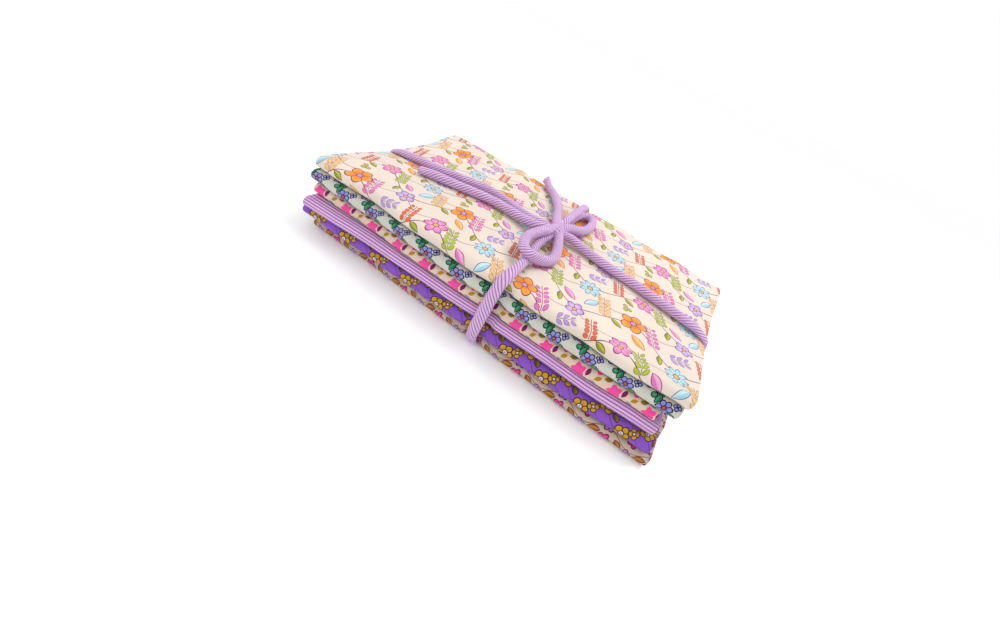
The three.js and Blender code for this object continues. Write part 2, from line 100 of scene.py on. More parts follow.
# Soft ridges in the top layer, in millimetres: from x, y to x, y, half width, rise
TOP_CREASES = (
    (-4, -62, -24, -100, 8, 1.7),
    (-50, -70, -74, -102, 9, 1.4),
    (-100, -60, -122, -100, 9, 1.6),
    (-146, -44, -174, -84, 10, 1.8),
    (-170, -92, -150, -98, 7, 1.2),
    (-150, -20, -175, -30, 9, 1.2),
    (-60, -46, -20, -38, 9, 1),
    (44, -58, 58, -100, 8, 1.8),
    (82, -62, 106, -94, 9, 1.4),
    (126, -50, 150, -90, 8, 1.5),
    (150, -26, 174, -52, 10, 1.4),
    (60, -30, 100, -22, 10, 0.9),
    (-150, 30, -172, 56, 10, 1.6),
    (-110, 50, -150, 100, 11, 1.2),
    (-66, 70, -84, 112, 9, 1.5),
    (56, 62, 66, 112, 9, 1.4),
    (100, 50, 128, 110, 11, 1.2),
    (144, 30, 170, 60, 10, 1.5),
    (50, 30, 90, 40, 10, 1),
)
CREASE_END = 0.012
TIP_WEIGHT = 0.7

# Where the left ends stick out at the front, and over what run that fades
LEFT_OUT_TO = -0.045
LEFT_OUT_RUN = 0.03

# Where the fronts and backs puff out or pinch in, in millimetres: x, height, half length, half height, push
FRONT_PUFFS = (
    (-165, 62, 16, 6, 1.6),
    (-120, 61, 20, 6, -1.2),
    (-72, 62, 22, 6, 1.6),
    (-22, 62, 14, 6, 1.8),
    (54, 62, 12, 6, 1.8),
    (92, 61, 14, 6, -1.4),
    (132, 60, 20, 6, 1.4),
    (168, 58, 10, 5, -1.4),
    (-150, 50, 20, 5, 1),
    (-90, 50, 20, 5, -1),
    (-35, 50, 18, 5, 1.2),
    (70, 50, 20, 5, 1),
    (120, 49, 16, 5, -1),
    (-130, 39, 20, 5, -0.9),
    (-60, 39, 22, 5, 1),
    (100, 38, 22, 5, 1),
    (150, 37, 12, 5, -1),
    (-100, 28, 30, 5, 0.8),
    (60, 28, 20, 5, -0.8),
    (130, 27, 20, 5, 0.9),
    (-140, 17, 20, 5, 1.2),
    (-60, 17, 20, 5, -1),
    (80, 17, 20, 5, 1.2),
    (150, 16, 14, 5, -1),
    (-100, 6, 20, 4, -1),
    (50, 6, 20, 4, 1),
    (140, 6, 20, 4, 1.2),
)

# How the folds wander in and out: radians a metre and share of each wave, and the backs' shift along it
WAVES = ((41.0, 0.6), (97.0, 0.4))
BACK_SHIFT = 0.05

# The cloth itself
CLOTH_THICKNESS = 0.0003

# The passes from the cloth's first edge to its last, by their level from the bottom
PASS_ORDER = (2, 3, 1, 4, 0)

# The four plies of a pass, in ply pitches from its middle, and the round ends between them
PLY_PITCH = 0.0005
PLY_HEIGHTS = (-1.5, 1.5, 0.5, -0.5)
END_NOSES = (1.3, 0.55, 0.55)
END_STEPS = (0.0015, 0.006)


def look_up(rows: tuple, at: np.ndarray) -> np.ndarray:
    """Straight-line look-up in a table of (key, value) rows.

    Args:
        rows: Pairs in rising order of key.
        at: The keys to look up.

    Returns:
        The values there, level past both ends.
    """
    return np.interp(at, [row[0] for row in rows], [row[1] for row in rows])


def smooth(share: np.ndarray) -> np.ndarray:
    """A soft step: 0 below 0, 1 above 1, level at both."""
    t = np.clip(share, 0.0, 1.0)
    return t * t * (3.0 - 2.0 * t)


def in_lane(offset: np.ndarray) -> np.ndarray:
    """1 on the flat floor of a cord's lane, 0 past its edges."""
    return smooth((LANE_EDGE - np.abs(offset)) / (LANE_EDGE - LANE_FLAT))


def near_side(depth: np.ndarray) -> np.ndarray:
    """1 at a side of the stack, falling to 0 at the depth that a groove reaches."""
    return np.clip(1.0 - depth / SIDE_DEPTH, 0.0, 1.0)


def spaced(counts: tuple[int, ...]) -> tuple[np.ndarray, np.ndarray]:
    """Stations between the knots of a line.

    Args:
        counts: How many steps each stretch between two knots has.

    Returns:
        The index of the knot before each station, and the share of the way to the next.
    """
    index = np.concatenate([np.full(n, i) for i, n in enumerate(counts)] + [[len(counts) - 1]])
    share = np.concatenate([np.arange(n) / n for n in counts] + [[1.0]])
    return index.astype(int), share


def placed(name: str, data: bpy.types.ID) -> bpy.types.Object:
    """A new object in the scene."""
    made = bpy.data.objects.new(name, data)
    bpy.context.scene.collection.objects.link(made)
    return made


def cells(grid: np.ndarray) -> np.ndarray:
    """The four corners of each cell of a grid of rows and columns, in order round the cell."""
    return np.stack([grid[:-1, :-1], grid[:-1, 1:], grid[1:, 1:], grid[1:, :-1]], axis=2)


def run_of(points: np.ndarray) -> np.ndarray:
    """The distance along a line of points, from 0 at the first."""
    return np.concatenate([[0.0], np.cumsum(np.linalg.norm(np.diff(points, axis=0), axis=1))])


class Domain(Enum):
    """What a mesh attribute is stored on."""

    VERTEX = "POINT"
    CORNER = "CORNER"


def mesh_object(
    name: str,
    points: np.ndarray,
    quads: np.ndarray,
    attribute: str,
    values: np.ndarray,
    domain: Domain = Domain.VERTEX,
) -> bpy.types.Object:
    """A smooth-shaded mesh object with one vector attribute.

    Args:
        name: The piece's name.
        points: Vertex places, one row each.
        quads: Vertex numbers of each face, four to a row.
        attribute: The name of the vector attribute.
        values: The attribute's rows, one for each vertex or face corner.
        domain: What the attribute is stored on.

    Returns:
        The new object, linked to the scene.
    """
    mesh = bpy.data.meshes.new(name)
    mesh.vertices.add(len(points))
    mesh.vertices.foreach_set("co", points.astype(np.float32).ravel())
    mesh.loops.add(quads.size)
    mesh.loops.foreach_set("vertex_index", quads.astype(np.int32).ravel())
    mesh.polygons.add(len(quads))
    mesh.polygons.foreach_set("loop_start", np.arange(0, quads.size, 4, dtype=np.int32))
    mesh.update(calc_edges=True)
    layer = mesh.attributes.new(attribute, "FLOAT_VECTOR", domain.value)
    layer.data.foreach_set("vector", values.astype(np.float32).ravel())
    mesh.polygons.foreach_set("use_smooth", np.ones(len(quads), bool))
    mesh.validate()
    return placed(name, mesh)


def wear(made: bpy.types.Object, slot: str, node: str) -> None:
    """Gives a piece its cloth.

    Args:
        made: The piece.
        slot: The name of its cloth.
        node: The node of the solids that it stands for.
    """
    made.data.materials.append(COTTONS[slot].material())
    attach(made, BODY)
    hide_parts(node)
    LOG.info("%s: %d faces of %s", made.name, len(made.data.polygons), slot)


@dataclass
class FoldedCut:
    """One cut of cotton: folded in four along its length, then in five passes across.

    Its mesh is the whole 1 m by 1.45 m sheet, laid on the folds of the cut's solid. The outer ply wraps
    round the right end.
    """

    name: str
    slot: str
    left: float
    right: float
    backs: tuple[float, ...]
    fronts: tuple[float, ...]
    level: int
    pass_steps: tuple[int, ...] = (2, 2, 2, 1, 2, 1, 2, 2, 2)
    top_steps: tuple[int, ...] = pass_steps
    ply_steps: tuple[int, ...] = (2, 3, 9, 8, 2, 3, 2, 7, 8, 3, 2)
    outer_steps: tuple[int, ...] = ply_steps
    turn_steps: tuple[int, ...] = (5, 6, 8, 12)
    fold_steps: int = 5
    fronts_wave: float = 0.0007
    pass_ends: tuple = ((0.0, 0.0015), (0.0025, 0.0005), (0.0012, 0.003), (0.0032, 0.001), (0.0004, 0.0))
    out_left: float = 0.0
    short_by: float = 0.0
    short_to: float = 0.0
    short_run: float = 0.025

    def fold_at(self, folds: tuple[float, ...], x: np.ndarray) -> np.ndarray:
        """The place of the front or back folds at places along the stack."""
        return np.interp(x, FOLD_X, folds)

    def knots_across(self, x: np.ndarray, start: np.ndarray, end: np.ndarray) -> np.ndarray:
        """The knots of a pass from its front end to its back end.

        Args:
            x: Places along the stack.
            start: The pass's front end there.
            end: Its back end.

        Returns:
            An array with the ten knots first.
        """
        groove = [look_up(LANE_Y, x) + line for line in LANE_LINES]
        return np.stack(np.broadcast_arrays(start, *SAG_FRONT, *groove, *SAG_BACK, end))

    def press(self, points: np.ndarray, loose: np.ndarray) -> np.ndarray:
        """The tied cord's work on the cloth: sagging ends and grooves on all sides.

        Args:
            points: Places in the flat-folded stack.
            loose: How freely each place can puff up into the top's creases, from 0 to 1.

        Returns:
            The same places in the tied stack.
        """
        x, y, flat_z = points[..., 0], points[..., 1], points[..., 2]
        lane = look_up(LANE_Y, x)
        over_x = in_lane(x - LANE_X)
        over_y = in_lane(y - lane)
        either = np.maximum(over_x, over_y)
        lift = GROOVE_BOTTOM * either + GROOVE_CROSSING * over_x * over_y
        z = flat_z + lift * np.clip(1.0 - flat_z / CUT_HEIGHT, 0.0, 1.0)
        top_floor = STACK_HEIGHT - CUT_HEIGHT
        groove = GROOVE_TOP + LEFT_BITE * smooth((LEFT_BITE_X - x) / (STACK_HALF_LENGTH + LEFT_BITE_X))
        z = z - groove * either * np.clip((z - top_floor) / CUT_HEIGHT, 0.0, None)
        towards_end = np.clip((np.abs(x) - SAG_START) / (STACK_HALF_LENGTH - SAG_START), 0.0, 1.0)
        across = self.sag_across(lane, y)
        z = z * (1.0 - SAG_SHARE * towards_end * across)
        from_front = near_side(y - self.fold_at(self.fronts, x))
        from_back = near_side(self.fold_at(self.backs, x) - y)
        new_y = y + GROOVE_SIDE * over_x * (from_front - from_back)
        near_lane = np.clip(1.0 - np.abs(x - LANE_X) / (SAG_START - LANE_X), 0.0, 1.0)
        z = z + self.creases(x, y) * (1.0 - either) * loose
        new_y = new_y + self.puffs(x, flat_z) * (1.0 - over_x) * (from_back - from_front)
        share = flat_z / STACK_HEIGHT
        lean = LEAN_BASE * (1.0 - share) + look_up(LEAN_TOP, new_y) * share
        from_left, from_right = near_side(x - self.left), near_side(self.right - x)
        pulled = GROOVE_END * over_y * (from_left - from_right)
        pulled -= self.out_left * smooth((LEFT_OUT_TO - y) / LEFT_OUT_RUN) * from_left
        pulled -= self.short_by * smooth((self.short_to - y) / self.short_run) * from_right
        return np.stack([x + lean * near_lane + pulled, new_y, z], axis=-1)

    def creases(self, x: np.ndarray, y: np.ndarray) -> np.ndarray:
        """How far the soft ridges and troughs lift the top."""
        lift = np.zeros_like(x)
        for x0, y0, x1, y1, half_width, rise in np.array(TOP_CREASES) * MM:
            run = np.hypot(x1 - x0, y1 - y0)
            ux, uy = (x1 - x0) / run, (y1 - y0) / run
            along = (x - x0) * ux + (y - y0) * uy
            past = np.maximum(np.abs(along - run / 2) - run / 2, 0.0)
            away = np.hypot((x - x0) * uy - (y - y0) * ux, TIP_WEIGHT * past)
            lift += rise * np.exp(-((away / half_width) ** 2))
        return lift * smooth((x - self.left) / CREASE_END) * smooth((self.right - x) / CREASE_END)

    def puffs(self, x: np.ndarray, z: np.ndarray) -> np.ndarray:
        """How far the fronts and backs puff out or pinch in."""
        push = np.zeros_like(x)
        for x0, z0, half_length, half_height, depth in np.array(FRONT_PUFFS) * MM:
            push += depth * np.exp(-(((x - x0) / half_length) ** 2) - ((z - z0) / half_height) ** 2)
        return push

    def sag_across(self, lane: np.ndarray, y: np.ndarray) -> np.ndarray:
        """How much of the end sag a point across the stack takes."""
        knots = (*SAG_FRONT, lane - LANE_EDGE, lane + LANE_EDGE, *SAG_BACK)
        share = np.zeros_like(y)
        for i in range(len(knots) - 1):
            t = (y - knots[i]) / (knots[i + 1] - knots[i])
            here = SAG_SHARES[i] + (SAG_SHARES[i + 1] - SAG_SHARES[i]) * t
            share = np.where((t >= 0.0) & (t <= 1.0), here, share)
        return share

    def section(self, x: np.ndarray, offset: np.ndarray) -> tuple[np.ndarray, np.ndarray]:
        """The cloth's section across the stack: five passes and four turns.

        Args:
            x: Place along the stack of each station, shape (stations along, stations across).
            offset: Height of the ply within its pass, in the same shape.

        Returns:
            y and z of each station, measured from the cut's underside.
        """
        front = self.fold_at(self.fronts, x) + FRONT_NOSE + PASS_THICKNESS / 2 + self.waviness(x)
        back = self.fold_at(self.backs, x) - BACK_NOSE - PASS_THICKNESS / 2 - self.waviness(x + BACK_SHIFT)
        inner_front = front + INNER_FOLD_SETBACK
        inner_back = back - INNER_FOLD_SETBACK
        last_edge = self.fold_at(self.backs, x) - LAST_EDGE_SETBACK
        passes = [
            (inner_front + FREE_EDGE_SETBACK, inner_back),
            (inner_front, inner_back),
            (inner_front, back),
            (front, back),
            (front, last_edge),
        ]
        turns = [
            (inner_back, PASS_PITCH / 2),
            (inner_front, -PASS_PITCH),
            (back, BACK_NOSE),
            (front, -FRONT_NOSE),
        ]
        parts_y, parts_z = [], []
        column = 0
        for n, (start, end) in enumerate(passes):
            level = PASS_ORDER[n]
            backwards = n % 2 == 0
            index, share = spaced(self.steps_on(level))
            count = len(index)
            piece = slice(column, column + count)
            knots = self.knots_across(x[:, piece], start[:, piece], end[:, piece])
            picked, along = (index, share) if backwards else (index[::-1], share[::-1])
            rows = np.arange(count)
            before = knots[picked, :, rows].T
            after = knots[picked + 1, :, rows].T
            parts_y.append(before * (1.0 - along) + after * along)
            parts_z.append(self.height(level) + (1 if backwards else -1) * offset[:, piece])
            column += count
            if n < len(turns):
                place, nose = turns[n]
                steps = self.turn_steps[n]
                piece = slice(column, column + steps - 1)
                angle = np.pi * np.arange(1, steps) / steps
                here, there = self.height(level), self.height(PASS_ORDER[n + 1])
                half = (there - here) / 2
                middle = (there + here) / 2
                run = np.stack([nose * np.cos(angle), half * np.sin(angle)])
                run /= np.linalg.norm(run, axis=0)
                inward = offset[:, piece]
                parts_y.append(place[:, piece] + nose * np.sin(angle) - run[1] * inward)
                parts_z.append(middle - half * np.cos(angle) + run[0] * inward)
                column += steps - 1
        return np.concatenate(parts_y, axis=1), np.concatenate(parts_z, axis=1)

    def height(self, level: int) -> float:
        """The height of a pass's middle above the cut's underside."""
        return PASS_THICKNESS / 2 + level * PASS_PITCH

    def waviness(self, x: np.ndarray) -> np.ndarray:
        """How a fold wanders in and out along the stack."""
        return self.fronts_wave * sum(share * np.sin(x * pace) for pace, share in WAVES)

    def steps_on(self, level: int) -> tuple[int, ...]:
        """The steps between the knots of a pass: finer on the top one."""
        return self.top_steps if level == PASS_COUNT - 1 else self.pass_steps

    def front_column(self) -> int:
        """The station at the middle of the outer front turn, which the print is placed from."""
        return self.top_column() + sum(self.top_steps) + self.turn_steps[-1] // 2

    def top_column(self) -> int:
        """The first station of the top pass."""
        return (PASS_COUNT - 2) * (sum(self.pass_steps) + 1) + sum(n - 1 for n in self.turn_steps[:-1])

    def looseness(self, level: np.ndarray) -> np.ndarray:
        """How freely each station can puff up: only the outer ply on the top, fading round its turns.

        Args:
            level: The height of the ply at each station along.

        Returns:
            Shares of shape (along, across).
        """
        rows = np.arange(len(level)) <= sum(self.outer_steps)
        first = self.top_column()
        after = first + sum(self.top_steps) + 1
        columns = np.zeros(len(self.end_insets()))
        columns[first:after] = 1.0
        back, front = self.turn_steps[-2] - 1, self.turn_steps[-1] - 1
        columns[first - back:first] = smooth(np.arange(1, back + 1) / (back + 1))
        columns[after:after + front] = smooth(1.0 - np.arange(1, front + 1) / (front + 1))
        on_top = self.level == CUT_COUNT - 1
        return rows[:, None] * columns[None, :] * on_top

    def end_insets(self) -> np.ndarray:
        """How far each station across stops short of the left and right ends."""
        columns = []
        for n, level in enumerate(PASS_ORDER):
            here = np.array(self.pass_ends[level])
            columns += [here] * (sum(self.steps_on(level)) + 1)
            if n < len(self.turn_steps):
                after = np.array(self.pass_ends[PASS_ORDER[n + 1]])
                steps = self.turn_steps[n]
                columns += [here + (after - here) * i / steps for i in range(1, steps)]
        return np.array(columns)

    def along(self) -> tuple[np.ndarray, np.ndarray, np.ndarray, np.ndarray]:
        """The cloth's run along the stack: four plies with three folds between them.

        Returns:
            For each station the knot index, the share to the next knot, the step past the end of the
            ply, and the height of the ply, counted in ply pitches from the middle of its pass.
        """
        last = len(self.ply_steps) - 1
        knots, shares, past, levels = [], [], [], []
        for n, height in enumerate(PLY_HEIGHTS):
            index, share = spaced(self.ply_steps if n else self.outer_steps)
            forward = n % 2 == 0
            knots.append(index if forward else index[::-1])
            shares.append(share if forward else share[::-1])
            past.append(np.zeros(len(index)))
            levels.append(np.full(len(index), height))
            if n < len(END_NOSES):
                angle = np.pi * np.arange(1, self.fold_steps) / self.fold_steps
                count = len(angle)
                middle = (height + PLY_HEIGHTS[n + 1]) / 2
                half = (height - PLY_HEIGHTS[n + 1]) / 2
                knots.append(np.full(count, last if forward else 0))
                shares.append(np.full(count, 1.0 if forward else 0.0))
                past.append(END_NOSES[n] * PLY_PITCH * np.sin(angle) * (1 if forward else -1))
                levels.append(middle + half * np.cos(angle))
        return tuple(np.concatenate(part) for part in (knots, shares, past, levels))

    def surface(self) -> tuple[np.ndarray, np.ndarray]:
        """The middle of the cloth, and its flat coordinates.

        Returns:
            Places of shape (along, across, 3), and their (length, width) on the flat cut.
        """
        index, share, past, level = self.along()
        insets = self.end_insets()
        nose = END_NOSES[0] * PLY_PITCH
        ends_left = self.left + nose + insets[:, 0]
        ends_right = self.right - nose - insets[:, 1]
        groove = [LANE_X + line for line in LANE_LINES]
        columns = [ends_left] + [ends_left + gap for gap in END_STEPS] + [-SAG_START, *groove, SAG_START]
        columns += [ends_right - gap for gap in END_STEPS[::-1]] + [ends_right]
        knots = np.stack(np.broadcast_arrays(*columns))
        before = knots[index]
        after = knots[index + 1]
        x = before * (1.0 - share[:, None]) + after * share[:, None] + past[:, None]
        offset = np.broadcast_to(level[:, None] * PLY_PITCH, x.shape)
        y, z = self.section(x, offset)
        base = self.level * (CUT_HEIGHT + CUT_GAP)
        points = self.press(np.stack([x, y, z + base], axis=-1), self.looseness(level))
        row = sum(self.outer_steps) // 2
        width = run_of(np.column_stack([y[row], z[row]]))
        length = run_of(np.column_stack([x[:, x.shape[1] // 2], level * PLY_PITCH]))
        length -= length[row]
        width -= width[self.front_column()]
        return points, np.stack(np.meshgrid(length, width, indexing="ij"), axis=-1)

    def build(self) -> bpy.types.Object:
        """The cut as one closed thin sheet, right side and wrong side."""
        points, flat = self.surface()
        along = np.gradient(points, axis=0)
        across = np.gradient(points, axis=1)
        normal = np.cross(across, along)
        normal /= np.maximum(np.linalg.norm(normal, axis=-1, keepdims=True), TINY)
        rows, columns = points.shape[:2]
        shift = rows * columns
        numbers = np.arange(shift).reshape(rows, columns)
        over = cells(numbers).reshape(-1, 4)
        # Cells on the plies that run back are turned, so that all are split along like diagonals
        backward = np.repeat(np.diff(points[:, columns // 2, 0]) < 0, columns - 1)
        over[backward] = np.roll(over[backward], 1, axis=1)
        under = over[:, [0, 3, 2, 1]] + shift
        rim = np.concatenate([numbers[0, :-1], numbers[:-1, -1], numbers[-1, :0:-1], numbers[:0:-1, 0]])
        following = np.roll(rim, -1)
        border = np.stack([rim, following, following + shift, rim + shift], axis=1)
        faces = [points + normal * CLOTH_THICKNESS / 2, points - normal * CLOTH_THICKNESS / 2]
        return mesh_object(
            self.name + "_cloth",
            np.concatenate(faces).reshape(-1, 3),
            np.concatenate([over, under, border]),
            "cloth",
            np.column_stack([np.concatenate([flat.reshape(-1, 2)] * 2), np.repeat([0.0, 1.0], shift)]),
        )

    def dress(self, below: str) -> bpy.types.Object:
        """Args:
            below: The name of the piece that the cut rests on; not used.

        Returns:
            The dressed cut.
        """
        made = self.build()
        wear(made, self.slot, self.name)
        return made


@dataclass
class Stretch:
    """One stretch of the cord: its route in millimetres, its girth there, and its stripes a metre.

    A row is (x, y, z) where the cord has the stretch's own girth, or else (x, y, z, width, thickness).
    """

    rows: tuple
    girth: float
    stripes: float

    def full_rows(self) -> list[tuple[float, ...]]:
        """The rows in metres, each with both sizes and the stripes."""
        sized = [(row + (self.girth, self.girth))[:5] for row in self.rows]
        return [(*(value * MM for value in row), self.stripes) for row in sized]


SHORT_TAIL = (
    (-51, 109.5, 75.2, 5.6, 11.2),
    (-47, 106.4, 74.2, 6.2, 9.4),
    (-42, 102, 73.3, 7.4, 7.8),
    (-31, 91.5, 72.6, 8.4, 8.4),
    (-18.5, 75, 73),
    (-7, 54, 75),
    (2.5, 28, 78.2, 9, 9),
    (7.5, 14.5, 81.2, 9.8, 8.4),
    (13.5, 3.5, 82.6, 11.2, 7.6),
    (19.2, -5.5, 79.8, 10.4, 8),
    (20.6, -6.2, 75.2, 9, 8),
)
BACK_LOOP = (
    (18.5, 1.5, 74.2, 8.6, 8.4),
    (18.2, 11.5, 78.5),
    (22, 20, 78.4),
    (28, 30, 76.2),
    (31.5, 45.5, 74),
    (31, 65, 72.6),
    (27.5, 77.5, 72.4),
    (20.5, 82, 72.2, 9, 8.6),
    (14, 77, 71.8, 9, 8),
    (11.5, 64, 71.6, 9, 8),
    (12, 45, 71.6, 9, 8),
    (12.5, 26, 73.5, 9, 8.4),
    (13, 8, 76),
)
LENGTHWISE = (
    (14, 6, 75),
    (-6, 6.6, 74),
    (-24, 7.5, 72.4),
    (-44, 11.5, 72.2),
    (-64, 13.5, 72.1),
    (-82, 11, 72),
    (-98, 5.5, 71),
    (-115, 2, 69.9),
    (-133, -1, 68.3),
    (-154, -1, 65.9),
    (-172, -0.5, 63.4, 9, 7.2),
    (-181.5, 0, 61.4, 9.6, 5.4),
    (-187.4, 0, 59.2, 10, 4.2),
    (-189.8, 0, 54.8, 10, 3.8),
    (-189.4, 0, 44, 10, 3.8),
    (-189.6, 0, 18, 10, 3.8),
    (-189, 0, 9, 10, 3.6),
    (-185.6, 0, 3.4, 10.6, 3),
    (-180, 0.2, 1.5, 11, 2.4),
    (-140, 2, 1.5, 11, 2.4),
    (-95, 4, 1.5, 11, 2.4),
    (-45, 5.8, 1.5, 11, 2.4),
    (4.6, 7.6, 1.5, 11, 2.4),
    (9.8, 7.7, 4.1, 11, 2.4),
    (21.2, 7.9, 4.1, 11, 2.4),
    (26.4, 7.8, 1.5, 11, 2.4),
    (62, 7.1, 1.5, 11, 2.4),
    (95, 6.5, 1.5, 11, 2.4),
    (140, 6, 1.5, 11, 2.4),
    (181, 5.5, 1.5, 11, 2.4),
    (187.4, 5.5, 1.8, 10.6, 2.6),
    (189.8, 5.5, 5.4, 10, 3.2),
    (189.2, 5.5, 12, 10, 3.8),
    (185.8, 5.5, 27, 10, 3.8),
    (182.8, 5.5, 46, 10, 3.8),
    (181.1, 5.5, 57, 10, 3.8),
    (178.6, 5.5, 61.1, 10, 4.4),
    (173.5, 5.6, 63.4, 9.6, 5.6),
    (165, 5.8, 66, 9, 7.2),
    (148, 6.6, 67.4),
    (127, 6.8, 68.9),
    (105, 6.8, 70.4),
    (83, 7, 71),
    (62, 9, 71.2),
    (42, 12, 72),
    (29, 12, 73.4),
    (15, 7, 75.5),
)
CROSSWISE = (
    (14, 8, 77.5, 8.6, 8.6),
    (13.8, 24, 80, 8.6, 8.6),
    (13.3, 38, 80.2, 8.6, 8.6),
    (12.4, 54, 79.4, 8.6, 8.6),
    (10.5, 72, 77, 8.6, 8.6),
    (8.5, 89, 73.4, 8.8, 8),
    (7.4, 102, 70.8, 9.2, 7),
    (7, 111, 69.6, 10, 5.4),
    (7.1, 116.4, 66, 10, 4.6),
    (7.4, 117.6, 60, 10, 4.2),
    (9, 114.6, 42, 10, 4.2),
    (11.8, 112, 20, 10, 4.2),
    (14, 110.4, 9, 10, 3.8),
    (15.2, 107.5, 3.2, 10.6, 3),
    (15.5, 102, 1.5, 11, 2.4),
    (15.5, 55, 1.5, 11, 2.4),
    (15.5, 8, 1.5, 11, 2.4),
    (15.5, -45, 1.5, 11, 2.4),
    (15.5, -97, 1.5, 11, 2.4),
    (15.8, -103, 2, 11, 2.6),
    (15.8, -107.4, 5, 10.8, 3.6),
    (15.8, -109.4, 11, 10.8, 4.5),
    (15.8, -109.4, 18, 10.8, 4.5),
    (16, -106.6, 31, 10.8, 4.5),
    (16.8, -103.6, 47, 10.8, 4.5),
    (17.6, -101.2, 58, 10.6, 4.6),
    (18.2, -98.4, 65.2, 10.4, 5),
    (18.7, -92.2, 69.6, 10, 5.8),
    (18.8, -84, 70.8, 9.4, 7),
    (18.6, -75, 71.2, 8.8, 8),
    (17.6, -62, 71.2),
    (15.4, -49, 71.2),
    (13.2, -35, 72),
    (12.2, -21, 73.8),
    (14.4, -8, 76),
    (14.6, 2, 77),
)
FRONT_LOOP = (
    (14, 5, 79, 9.2, 9.2),
    (12.8, -3, 81, 9.2, 9.2),
    (10.6, -15, 81.2),
    (7, -27, 81),
    (4.8, -38.5, 80.6),
    (6.1, -49.7, 80.2),
    (11.2, -58.6, 79.8, 9.4, 9.2),
    (17.3, -61, 78.6, 9.4, 9.2),
    (23.2, -56.5, 76),
    (29, -49.7, 73.6),
    (32.6, -41, 72.6),
    (31, -28, 73.4),
    (25.8, -15.5, 76),
    (20.6, -6, 78.4, 9.2, 9.2),
    (15.5, 3, 79, 9.2, 9.2),
)
LONG_TAIL = (
    (12, 2, 78),
    (2, -7, 77.4),
    (-16, -5.5, 74.6),
    (-35, -3, 72.8),
    (-53, -3, 72.3),
    (-69, -7.2, 72.3),
    (-84.5, -12.5, 72.2),
    (-100, -17.2, 72),
    (-117, -21.3, 71.4, 8.8, 8.6),
    (-126, -23.9, 70.8, 9.2, 7.8),
    (-131, -25.3, 70.4, 9.8, 6.8),
)


